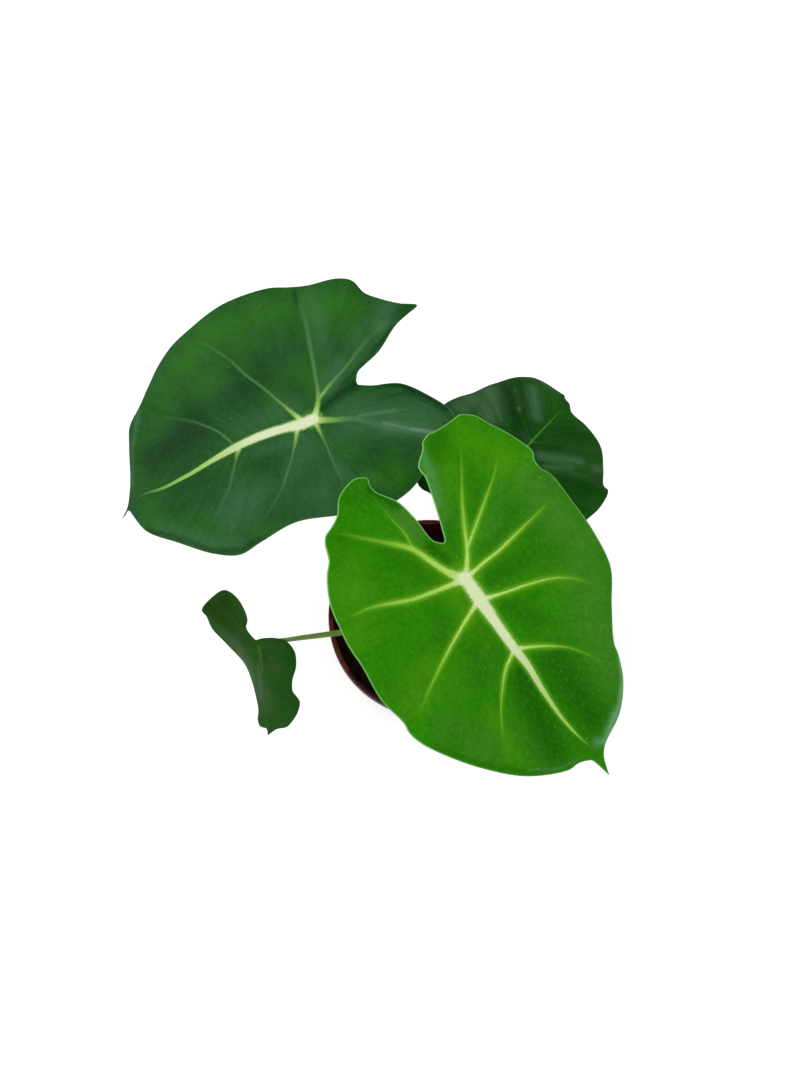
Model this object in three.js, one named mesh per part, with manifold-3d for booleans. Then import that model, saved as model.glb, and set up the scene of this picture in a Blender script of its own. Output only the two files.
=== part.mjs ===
// Potted frydek alocasia: a nursery pot of potting mix with one crown, four petioles and four arrowhead
// blades. Millimetres, +Z up. The origin is the centre of the pot's flat base, on the surface that it
// stands on.
import * as THREE from "three";
import { mergeVertices } from "three/addons/utils/BufferGeometryUtils.js";
import Module from "manifold-3d";

const wasm = await Module();
wasm.setup();

// Pot
const potHeight = 105;
const rimRadius = 60;
const baseRadius = 43;
const wall = 1.6;
const floorThickness = 2;
const bandHeight = 8;
const bandOverhang = 1.8;
const bandSlope = 0.6;
const rimWidth = 2.6;
const rimBevel = 0.8;
const potSides = 48;
const drainCount = 6;
const drainRadius = 4;
const drainRing = 30;

// Potting mix and crown
const mixTop = 92;
const crownRadius = 12.5;
const crownFoot = 74;
const crownTop = 97;
const crownBevel = 1.5;
const gap = 0.3;

// Petioles
const petioleSides = 10;
const petioleSteps = 18;
const petioleRing = 7.5;
const petioleTaper = 1.6;

// Blades
const bladeThickness = 0.8;
const costaDepth = 1.6;
const rings = [0.16, 0.34, 0.52, 0.7, 0.86, 1];
const reachOfMean = 0.55;
const reachOfMargin = 0.6;
const meanSpan = 0.11;
const liftPower = 2.5;

// A blade is drawn in its own frame, with the petiole's joint as its origin: each margin point is forward
// along the midrib, left of it, and lifted off the blade's form. The margin starts in the sinus, goes round
// the left half to the tip, and comes back round the right half. costae are the margin points that a main
// vein runs to.
const blades = {
  front: {
    joint: [10.5, -36.5, 290],
    heading: -50,
    droop: 17,
    roll: 0,
    tipArc: 420,
    lobeArc: 350,
    foldLeft: 0.12,
    foldRight: 0.12,
    foldSoft: 14,
    left: [
      [-17.6, 1.8, -1], [-17.8, 3.1, -1], [-20.5, 4.5, -1], [-33.2, 9.4, 1], [-45.2, 13.5, 2],
      [-47.7, 13.2, 3], [-50.5, 13.7, 4], [-55.4, 20.7, 2], [-57.6, 22.6, 1], [-59, 28, -1],
      [-58.4, 30.3, -2], [-57.5, 41, -4], [-57.6, 44.6, -4], [-55.9, 47.4, -5], [-52.8, 50.3, -5],
      [-47, 52.5, -5], [-39.7, 55.2, -3.5], [-33.8, 56.8, -2], [-24.9, 57.8, 1], [-21.4, 56, 1],
      [-16.8, 56.2, 0], [-12.2, 58.7, -2], [5, 59.6, -4], [22, 58, -2], [37.5, 55.5, -4],
      [50.8, 45.2, -2], [64, 35.5, 1], [69.8, 34.3, 0], [81.3, 30.4, -3], [92.5, 21.5, -5],
      [98.3, 7.1, -1], [100.5, 4.1, 0], [102.8, 2.6, 0], [111, 0, 0],
    ],
    right: [
      [100.3, -2.5, 0], [98.9, -3.7, 1], [95.9, -9.2, 2], [95.3, -14.3, 2], [85, -31, -1],
      [68, -45.5, -3], [48, -57.5, -1], [41.5, -60.1, -2], [36.2, -61, -3], [31.5, -60.2, -4],
      [17.5, -62, -2], [0.9, -60, 1], [-5.4, -59.5, 0], [-10.1, -58.8, -1], [-15.1, -57.5, -2],
      [-25.1, -54.6, -3], [-30.7, -51.8, -4], [-37.9, -46.9, -2], [-42, -43, 1], [-49, -39.4, 1],
      [-51.4, -36.7, 0], [-52.3, -33.5, -1], [-55, -27, -3], [-61.3, -19.7, -6], [-63.5, -9.3, -8],
      [-62.1, -6.3, -7], [-60, -4.5, -6], [-56.7, -6.3, -4], [-53.1, -6.6, -2], [-49.1, -5, 0],
      [-44, -2.5, 1], [-31.8, -1.5, 1], [-20.8, -0.6, -1],
    ],
    costae: [11, 22, 33, 48, 57],
    color: "#2c8001",
  },
  left: {
    joint: [-61.5, 57.5, 250],
    heading: -157,
    droop: 8,
    roll: -3,
    tipArc: 420,
    lobeArc: 320,
    foldLeft: 0.36,
    foldRight: 0.3,
    foldSoft: 14,
    left: [
      [-28.5, -10, -1], [-28.3, -7.9, -1], [-30, -6.6, -0.5], [-34.4, -4.3, 0], [-48.2, -0.4, -2],
      [-59, 11, -5], [-64.8, 21.7, -6], [-65, 26.4, -6], [-56.5, 38.5, -5], [-42, 49, -3],
      [-29.5, 57.5, -3], [-10.5, 60.5, -3], [7, 54.5, -1], [25.5, 49.5, 2], [44.5, 50, -1],
      [56.5, 50, -4], [68, 43.5, -3], [83, 29.5, 1], [97.5, 13.5, -1], [101, 3, 1], [107, 1, 0],
    ],
    right: [
      [101.5, -4, 0], [96.2, -13.6, -1], [89.3, -31.2, -4], [85.1, -38.8, -4], [75.5, -45, -3],
      [67, -51.5, -3], [58, -58.5, -4], [47.7, -63.7, -4], [35.7, -66.5, -3], [24.6, -69, -3],
      [13.5, -70.5, -4], [-7, -68, -3], [-17, -64, -2], [-25.5, -61.5, -2], [-40.5, -58.5, 0],
      [-47, -54.5, 1], [-50.1, -48.1, -1], [-56.3, -43.6, -3], [-63.9, -37.7, -1], [-71.7, -32.1, 3],
      [-64.9, -29.8, 2], [-57.6, -27.2, 1], [-44.7, -19.1, -1], [-30.8, -13, -1],
    ],
    costae: [7, 11, 20, 29, 33, 40],
    color: "#235528",
  },
  back: {
    joint: [31.5, 37, 220],
    heading: 57,
    droop: 20,
    roll: -2,
    tipArc: 700,
    lobeArc: 300,
    foldLeft: 0.08,
    foldRight: 0.08,
    foldSoft: 14,
    left: [
      [-17, 0, 0], [-24, 1, -1], [-29.5, 5, -2], [-30.5, 11, -3], [-28, 18, -3], [-25, 26, -4],
      [-22.5, 33, -4], [-7.5, 41, -4], [13, 46.5, -3], [29.5, 48.5, -2], [39.3, 45.6, -1.5],
      [48, 41, -1], [60.3, 37.7, -2], [70.8, 33.9, -3], [84.5, 26, -3], [88.7, 22.7, -2.5],
      [88.5, 16.5, -2], [87, 5, -1], [85.7, 1.1, 0],
    ],
    right: [
      [83.1, -0.9, 0], [80.6, -4.6, 0], [76, -8.2, -1], [72, -19.5, -2], [63, -32, -3],
      [45.5, -41, -2], [32, -46.5, 0], [29, -50, 1], [17.5, -51, -1], [8, -48.5, -4], [-8, -44, -6],
      [-24, -36, -6], [-36, -25, -5], [-38.5, -15, -3], [-31, -8, -2], [-23, -4, -1],
    ],
    costae: [5, 9, 18, 25, 30],
    color: "#144119",
  },
  small: {
    joint: [-96.5, -27, 134],
    heading: -85,
    droop: 22,
    roll: 4,
    tipArc: 120,
    lobeArc: 200,
    foldLeft: 0,
    foldRight: -0.9,
    foldSoft: 5,
    left: [
      [-4, -1.5, 1], [-4.5, 2, -0.5], [-3.5, 9.5, -4.5], [-0.5, 15.5, -5.5], [5.5, 19, -5.5],
      [14, 18.8, -5.5], [20.5, 16.3, -5], [25.7, 15.4, -5.5], [27.9, 15.5, -5.5], [30.6, 17.1, -5.5],
      [34.5, 18.7, -6], [40.8, 16.7, -6], [47.6, 11.5, -6.5], [49.7, 8.6, -7], [51, 2.5, -9],
      [54.5, -3, -9],
    ],
    right: [
      [50.5, -3.5, -10], [49.3, -7.3, -10], [45.2, -8.3, -10], [40, -7.5, -13], [30.5, -8.5, -15.5],
      [20, -10.5, -16], [12, -13.5, -15], [-0.5, -22.5, -5.5], [-10.7, -29.2, 5.5],
      [-17.5, -31, 10], [-22.5, -32.5, 16.5], [-29.5, -25, 15], [-33, -18, 11.5],
      [-31.5, -13.9, 8.5], [-26.2, -8.9, 5.5], [-17.5, -5.5, 2.5], [-11.4, -6.4, 3], [-7.1, -4.5, 1],
    ],
    costae: [4, 15, 25],
    color: "#285c28",
  },
};

// Petioles: radius at the foot and below the blade, the upright length at the foot, the straight length
// below the blade, and the points between the two
const petioles = {
  front: { foot: 4.2, neck: 2.4, upright: 8, straight: 26, through: [[4.5, -16, 150], [7, -26, 215]] },
  left: { foot: 4.2, neck: 2.3, upright: 8, straight: 24, through: [[-22, 20, 145], [-45, 43.5, 192]] },
  back: { foot: 3.8, neck: 2, upright: 6, straight: 20, through: [[13, 15, 135], [22.5, 26, 175]] },
  small: {
    foot: 2.4, neck: 1.2, upright: 2, straight: 13,
    through: [[-24, -7, 105], [-49.5, -13.5, 115.5], [-83, -20, 122.5]],
  },
};

const mixColor = "#17100c";
const potColor = "#3c140a";
const petioleColor = "#466e1e";

function clay(color, roughness) {
  return new THREE.MeshStandardMaterial({ color, roughness, metalness: 0 });
}

function solidOf(geometry) {
  const bare = geometry.clone();
  bare.deleteAttribute("normal");
  bare.deleteAttribute("uv");
  const merged = mergeVertices(bare, 1e-4);
  return new wasm.Manifold(new wasm.Mesh({
    numProp: 3,
    vertProperties: new Float32Array(merged.attributes.position.array),
    triVerts: new Uint32Array(merged.index.array),
  }));
}

function geometryOf(solid) {
  const mesh = solid.getMesh();
  const geometry = new THREE.BufferGeometry();
  geometry.setAttribute("position", new THREE.BufferAttribute(new Float32Array(mesh.vertProperties), 3));
  geometry.setIndex(new THREE.BufferAttribute(new Uint32Array(mesh.triVerts), 1));
  geometry.computeVertexNormals();
  return geometry;
}

function meshOf(name, geometry, material) {
  const mesh = new THREE.Mesh(geometry, material);
  mesh.name = name;
  return mesh;
}

function turned(profile) {
  const geometry = new THREE.LatheGeometry(profile.map(([r, z]) => new THREE.Vector2(r, z)), potSides);
  return geometry.rotateX(Math.PI / 2);
}

// The pot's wall leans out in a straight line from its base to the underside of the rim's band
function outerRadius(z) {
  return baseRadius + (rimRadius - bandOverhang - baseRadius) * z / (potHeight - bandHeight);
}

function innerRadius(z) {
  return outerRadius(z) - wall;
}

function makePot() {
  const bandFoot = potHeight - bandHeight;
  const shell = solidOf(turned([
    [0, 0], [baseRadius, 0], [outerRadius(bandFoot), bandFoot], [rimRadius, bandFoot + bandSlope],
    [rimRadius, potHeight - rimBevel], [rimRadius - rimBevel, potHeight], [rimRadius - rimWidth, potHeight],
    [innerRadius(bandFoot), bandFoot], [innerRadius(floorThickness), floorThickness], [0, floorThickness],
  ]));
  const drill = solidOf(new THREE.CylinderGeometry(drainRadius, drainRadius, 4 * floorThickness, 16)
    .rotateX(Math.PI / 2));
  let pot = shell;
  for (let i = 0; i < drainCount; i += 1) {
    const angle = 2 * Math.PI * i / drainCount;
    const centre = [drainRing * Math.cos(angle), drainRing * Math.sin(angle), floorThickness / 2];
    pot = pot.subtract(drill.translate(centre));
  }
  return meshOf("pot", geometryOf(pot), clay(potColor, 0.55));
}

function makeMix() {
  const foot = floorThickness + gap;
  const holeFoot = crownFoot - gap;
  return meshOf("potting_mix", turned([
    [0, foot], [innerRadius(foot) - gap, foot], [innerRadius(mixTop) - gap, mixTop],
    [crownRadius + gap, mixTop], [crownRadius + gap, holeFoot], [0, holeFoot],
  ]), clay(mixColor, 0.95));
}

function makeCrown() {
  return meshOf("crown", turned([
    [0, crownFoot], [crownRadius - 2 * crownBevel, crownFoot], [crownRadius, crownFoot + 4 * crownBevel],
    [crownRadius, crownTop - crownBevel], [crownRadius - crownBevel, crownTop], [0, crownTop],
  ]), clay(petioleColor, 0.7));
}

// The blade's forward, left and normal directions, from its heading, the droop of its midrib and its roll
function frameOf(blade) {
  const [heading, droop, roll] = [blade.heading, blade.droop, blade.roll].map(THREE.MathUtils.degToRad);
  const forward = new THREE.Vector3(
    Math.cos(heading) * Math.cos(droop), Math.sin(heading) * Math.cos(droop), -Math.sin(droop));
  const level = new THREE.Vector3(-Math.sin(heading), Math.cos(heading), 0);
  const up = new THREE.Vector3().crossVectors(forward, level);
  const left = level.clone().multiplyScalar(Math.cos(roll)).addScaledVector(up, Math.sin(roll));
  const normal = up.clone().multiplyScalar(Math.cos(roll)).addScaledVector(level, -Math.sin(roll));
  return new THREE.Matrix4().makeBasis(forward, left, normal).setPosition(...blade.joint);
}

// The midrib arches down to the tip and to the lobes, and each half folds up or down from it
function formHeight(blade, forward, left) {
  const arch = -forward * forward / (2 * (forward > 0 ? blade.tipArc : blade.lobeArc));
  const fold = left > 0 ? blade.foldLeft : blade.foldRight;
  return arch + fold * (Math.hypot(left, blade.foldSoft) - blade.foldSoft);
}

// The margin is two smooth curves that meet in the sharp tip and in the sinus
function marginOf(blade, perSpan) {
  const left = blade.left.map((point) => new THREE.Vector3(...point));
  const right = blade.right.map((point) => new THREE.Vector3(...point));
  const halves = [left, [left[left.length - 1], ...right, left[0]]];
  return halves.flatMap((points) => {
    const count = (points.length - 1) * perSpan;
    return new THREE.CatmullRomCurve3(points, false, "centripetal").getPoints(count).slice(0, count);
  });
}

// A rib of the blade bends from the joint through a point near the middle of the margin's stretch, so that
// the ribs fan out into both lobes and never leave the blade at the sinus
function bendOf(margin, i) {
  const span = Math.round(meanSpan * margin.length);
  const mean = new THREE.Vector2();
  for (let k = -span; k <= span; k += 1) {
    const point = margin[(i + k + margin.length) % margin.length];
    mean.add(new THREE.Vector2(point.x, point.y));
  }
  mean.divideScalar(2 * span + 1);
  const reach = Math.min(reachOfMean * mean.length(), reachOfMargin * Math.hypot(margin[i].x, margin[i].y));
  return mean.setLength(reach);
}

function makeBlade(name, blade, perSpan) {
  const margin = marginOf(blade, perSpan);
  const count = margin.length;
  const middle = [0, 0, 0];
  const depth = [costaDepth];
  margin.forEach((edge, i) => {
    const bend = bendOf(margin, i);
    const onCosta = blade.costae.some((point) => point * perSpan === i);
    rings.forEach((t) => {
      const forward = 2 * t * (1 - t) * bend.x + t * t * edge.x;
      const left = 2 * t * (1 - t) * bend.y + t * t * edge.y;
      middle.push(forward, left, formHeight(blade, forward, left) + edge.z * t ** liftPower);
      depth.push(onCosta ? costaDepth * (1 - t) : 0);
    });
  });
  const corner = (i, ring) => 1 + (i % count) * rings.length + ring;
  const faces = [];
  for (let i = 0; i < count; i += 1) {
    faces.push(0, corner(i + 1, 0), corner(i, 0));
    for (let ring = 1; ring < rings.length; ring += 1) {
      faces.push(corner(i, ring - 1), corner(i + 1, ring - 1), corner(i + 1, ring));
      faces.push(corner(i, ring - 1), corner(i + 1, ring), corner(i, ring));
    }
  }
  const sheet = new THREE.BufferGeometry();
  sheet.setAttribute("position", new THREE.Float32BufferAttribute(middle, 3));
  sheet.setIndex(faces);
  sheet.computeVertexNormals();
  const body = thicken(sheet, depth).applyMatrix4(frameOf(blade));
  return meshOf(`blade_${name}`, body, clay(blade.color, 0.6));
}

// The sheet becomes a closed body: an upper face, a lower face with its ribs, and a strip round the margin
function thicken(sheet, depth) {
  const at = sheet.attributes.position;
  const normal = sheet.attributes.normal;
  const facing = normal.getZ(0) > 0 ? 1 : -1;
  const points = [];
  [1, -1].forEach((side) => {
    for (let i = 0; i < at.count; i += 1) {
      const offset = facing * side * (bladeThickness / 2 + (side < 0 ? depth[i] : 0));
      points.push(at.getX(i) + offset * normal.getX(i), at.getY(i) + offset * normal.getY(i),
        at.getZ(i) + offset * normal.getZ(i));
    }
  });
  const faces = [];
  const index = sheet.index.array;
  for (let k = 0; k < index.length; k += 3) {
    const [a, b, c] = [index[k], index[k + 1], index[k + 2]];
    const below = at.count;
    if (facing > 0) {
      faces.push(a, b, c, below + a, below + c, below + b);
    } else {
      faces.push(a, c, b, below + a, below + b, below + c);
    }
  }
  const edge = [];
  for (let i = rings.length; i < at.count; i += rings.length) {
    edge.push(i);
  }
  edge.forEach((a, k) => {
    const b = edge[(k + 1) % edge.length];
    if (facing > 0) {
      faces.push(a, b, at.count + b, a, at.count + b, at.count + a);
    } else {
      faces.push(a, at.count + b, b, a, at.count + a, at.count + b);
    }
  });
  const body = new THREE.BufferGeometry();
  body.setAttribute("position", new THREE.Float32BufferAttribute(points, 3));
  body.setIndex(faces);
  body.computeVertexNormals();
  return body;
}

// A petiole rises from its seat on the crown, leans out, and ends square under the blade's joint
function routeOf(petiole, blade) {
  const frame = frameOf(blade);
  const lean = Math.atan2(blade.joint[1], blade.joint[0]);
  const seat = new THREE.Vector3(petioleRing * Math.cos(lean), petioleRing * Math.sin(lean), 0);
  seat.z = crownTop + gap;
  const under = -(bladeThickness / 2 + costaDepth + gap);
  return [
    seat,
    seat.clone().add(new THREE.Vector3(0, 0, petiole.upright)),
    ...petiole.through.map((point) => new THREE.Vector3(...point)),
    new THREE.Vector3(0, 0, under - petiole.straight).applyMatrix4(frame),
    new THREE.Vector3(0, 0, under).applyMatrix4(frame),
  ];
}

function makePetiole(name, petiole, blade) {
  const route = routeOf(petiole, blade);
  const curve = new THREE.CatmullRomCurve3(route, false, "centripetal");
  const frames = curve.computeFrenetFrames(petioleSteps, false);
  const axes = [new THREE.Vector3(0, 0, 1), new THREE.Vector3().setFromMatrixColumn(frameOf(blade), 2)];
  const points = [];
  for (let step = 0; step <= petioleSteps; step += 1) {
    const t = step / petioleSteps;
    const centre = curve.getPointAt(t);
    const radius = petiole.neck + (petiole.foot - petiole.neck) * (1 - t) ** petioleTaper;
    const across = frames.normals[step].clone();
    const along = step === 0 ? axes[0] : step === petioleSteps ? axes[1] : frames.tangents[step];
    across.addScaledVector(along, -across.dot(along)).normalize();
    const aside = new THREE.Vector3().crossVectors(along, across);
    for (let side = 0; side < petioleSides; side += 1) {
      const angle = 2 * Math.PI * side / petioleSides;
      const point = centre.clone().addScaledVector(across, radius * Math.cos(angle))
        .addScaledVector(aside, radius * Math.sin(angle));
      points.push(...point.toArray());
    }
  }
  points.push(...curve.getPointAt(0).toArray(), ...curve.getPointAt(1).toArray());
  const foot = petioleSides * (petioleSteps + 1);
  const faces = [];
  for (let side = 0; side < petioleSides; side += 1) {
    const next = (side + 1) % petioleSides;
    faces.push(foot, next, side);
    for (let step = 0; step < petioleSteps; step += 1) {
      const low = step * petioleSides;
      const high = low + petioleSides;
      faces.push(low + side, low + next, high + next, low + side, high + next, high + side);
    }
    const last = petioleSteps * petioleSides;
    faces.push(foot + 1, last + side, last + next);
  }
  const geometry = new THREE.BufferGeometry();
  geometry.setAttribute("position", new THREE.Float32BufferAttribute(points, 3));
  geometry.setIndex(faces);
  geometry.computeVertexNormals();
  return meshOf(`petiole_${name}`, geometry, clay(petioleColor, 0.6));
}

const plant = new THREE.Group();
plant.add(makePot(), makeMix(), makeCrown());
for (const [name, blade] of Object.entries(blades)) {
  plant.add(makePetiole(name, petioles[name], blade));
  plant.add(makeBlade(name, blade, name === "small" ? 1 : 2));
}

export default plant;
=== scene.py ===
import math
import random

import bmesh
import bpy
import numpy as np
from mathutils import Matrix, Vector, noise


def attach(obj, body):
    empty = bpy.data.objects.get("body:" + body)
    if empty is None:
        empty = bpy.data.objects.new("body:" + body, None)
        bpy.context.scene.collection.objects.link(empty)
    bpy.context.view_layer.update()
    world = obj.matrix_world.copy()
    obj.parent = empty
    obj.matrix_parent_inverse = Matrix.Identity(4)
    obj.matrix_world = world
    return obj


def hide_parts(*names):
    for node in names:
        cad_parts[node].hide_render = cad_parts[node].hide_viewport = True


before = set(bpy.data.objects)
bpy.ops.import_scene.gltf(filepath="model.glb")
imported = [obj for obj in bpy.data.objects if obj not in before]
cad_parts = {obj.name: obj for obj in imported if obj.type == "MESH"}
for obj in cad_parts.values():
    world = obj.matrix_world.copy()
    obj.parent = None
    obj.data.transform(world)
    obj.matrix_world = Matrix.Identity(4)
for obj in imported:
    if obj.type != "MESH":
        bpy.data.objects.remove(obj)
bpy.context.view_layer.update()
mm = 0.001
print("frame loaded")

scene = bpy.context.scene
scene.view_settings.view_transform = "Standard"
scene.view_settings.look = "None"


# Camera, lights and floor
photoView = {
    "place": (-0.0177, -0.1935, 0.7783),
    "tilt": 20.0,             # degrees from straight down, towards +Y
    "focalPixels": 1184.0,
    "framePixels": (800, 1065),
    "sensor": 36.0,
}
studio = {
    "floorSize": 6.0,
    "floorColor": (0.9, 0.9, 0.9, 1.0),
    "floorGlow": 0.32,
    "skyColor": (1.0, 1.0, 1.0, 1.0),
    "skyStrength": 0.5,
    "paint": 0.8, "haze": 0.006,
    "lamps": {
        "keyLamp": {"place": (-1.3, 0.1, 1.7), "aim": (0.0, 0.0, 0.2), "size": 1.5, "watts": 20.0},
        "fillLamp": {"place": (1.3, -0.9, 1.6), "aim": (0.0, 0.0, 0.2), "size": 1.6, "watts": 9.0},
        "topLamp": {"place": (-0.1, -0.7, 2.2), "aim": (0.0, 0.0, 0.2), "size": 1.4, "watts": 12.0},
    },
}


def aimAt(obj, target):
    obj.rotation_mode = "QUATERNION"
    obj.rotation_quaternion = (Vector(target) - obj.location).to_track_quat("-Z", "Y")


def makeCamera():
    data = bpy.data.cameras.new("photoCamera")
    data.sensor_width = photoView["sensor"]
    data.lens = photoView["focalPixels"] / max(photoView["framePixels"]) * photoView["sensor"]
    data.clip_start = 0.01
    data.clip_end = 50
    camera = bpy.data.objects.new("photoCamera", data)
    camera.location = photoView["place"]
    camera.rotation_euler = (math.radians(photoView["tilt"]), 0, 0)
    scene.collection.objects.link(camera)
    scene.camera = camera


def makeLamps():
    for name, lamp in studio["lamps"].items():
        data = bpy.data.lights.new(name, "AREA")
        data.shape = "DISK"
        data.size = lamp["size"]
        data.energy = lamp["watts"]
        obj = bpy.data.objects.new(name, data)
        obj.location = lamp["place"]
        aimAt(obj, lamp["aim"])
        scene.collection.objects.link(obj)
    world = bpy.data.worlds.new("studioSky")
    world.use_nodes = True
    sky = world.node_tree.nodes["Background"]
    sky.inputs["Color"].default_value = studio["skyColor"]
    sky.inputs["Strength"].default_value = studio["skyStrength"]
    scene.world = world


# Shader maths: a socket that adds its nodes as it is used
class Wire:
    def __init__(self, tree, socket):
        self.tree = tree
        self.socket = socket

    def math(self, operation, *others):
        values = {str(index): value for index, value in enumerate((self, *others))}
        return addNode(self.tree, "ShaderNodeMath", {"operation": operation}, **values)

    def __add__(self, other):
        return self.math("ADD", other)

    __radd__ = __add__

    def __sub__(self, other):
        return self.math("SUBTRACT", other)

    def __rsub__(self, other):
        return (self * -1.0) + other

    def __mul__(self, other):
        return self.math("MULTIPLY", other)

    __rmul__ = __mul__

    def __pow__(self, other):
        return self.math("POWER", other)

    def most(self, other):
        return self.math("MAXIMUM", other)

    def split(self):
        node = addNode(self.tree, "ShaderNodeSeparateXYZ", Vector=self).socket.node
        return [Wire(self.tree, output) for output in node.outputs]

    def step(self, low, high):
        # 0 at low, 1 at high, eased between; low may be the larger
        return addNode(self.tree, "ShaderNodeMapRange", {"interpolation_type": "SMOOTHSTEP"},
                       Value=self, From_Min=low, From_Max=high)


def feed(tree, node, values):
    # a socket is named by its words or its number, and takes a link or a value
    for key, value in values.items():
        socket = node.inputs[int(key)] if key.isdigit() else node.inputs[key.replace("_", " ")]
        if isinstance(value, Wire):
            tree.links.new(value.socket, socket)
        else:
            socket.default_value = value


def addNode(tree, kind, settings=None, output=0, **values):
    node = tree.nodes.new(kind)
    for key, value in (settings or {}).items():
        setattr(node, key, value)
    feed(tree, node, values)
    return Wire(tree, node.outputs[output])


def readVector(tree, name):
    return addNode(tree, "ShaderNodeAttribute", {"attribute_name": name}, output=1)


def objectPlace(tree):
    return addNode(tree, "ShaderNodeTexCoord", output=3)


def addNoise(tree, place, scale, detail=2.0, roughness=0.5):
    return addNode(tree, "ShaderNodeTexNoise", Vector=place, Scale=scale, Detail=detail, Roughness=roughness)


def addBump(tree, height, strength, distance):
    return addNode(tree, "ShaderNodeBump", Height=height, Strength=strength, Distance=distance)


def mixColor(tree, amount, first, second):
    values = {"0": amount, "6": first, "7": second}
    return addNode(tree, "ShaderNodeMix", {"data_type": "RGBA"}, output=2, **values)


def layColors(tree, color, layers):
    # each layer covers what is under it by its own amount
    for amount, paint in layers:
        color = mixColor(tree, amount, color, paint)
    return color


def srgb(red, green, blue):
    def linear(value):
        value = value / 255
        return value / 12.92 if value <= 0.04045 else ((value + 0.055) / 1.055) ** 2.4
    return (linear(red), linear(green), linear(blue), 1.0)


def tint(red, green, blue):
    # the paint under a colour that is seen in the full light of the studio, without the haze of its gloss
    seen = srgb(red, green, blue)[:3]
    return (*(studio["paint"] * max(0.0, value - studio["haze"]) for value in seen), 1.0)


def newMaterial(name):
    material = bpy.data.materials.new(name)
    material.use_nodes = True
    return material, material.node_tree


def finishShader(tree, color, roughness, **values):
    values.update(Base_Color=color, Roughness=roughness)
    feed(tree, tree.nodes["Principled BSDF"], values)


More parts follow.
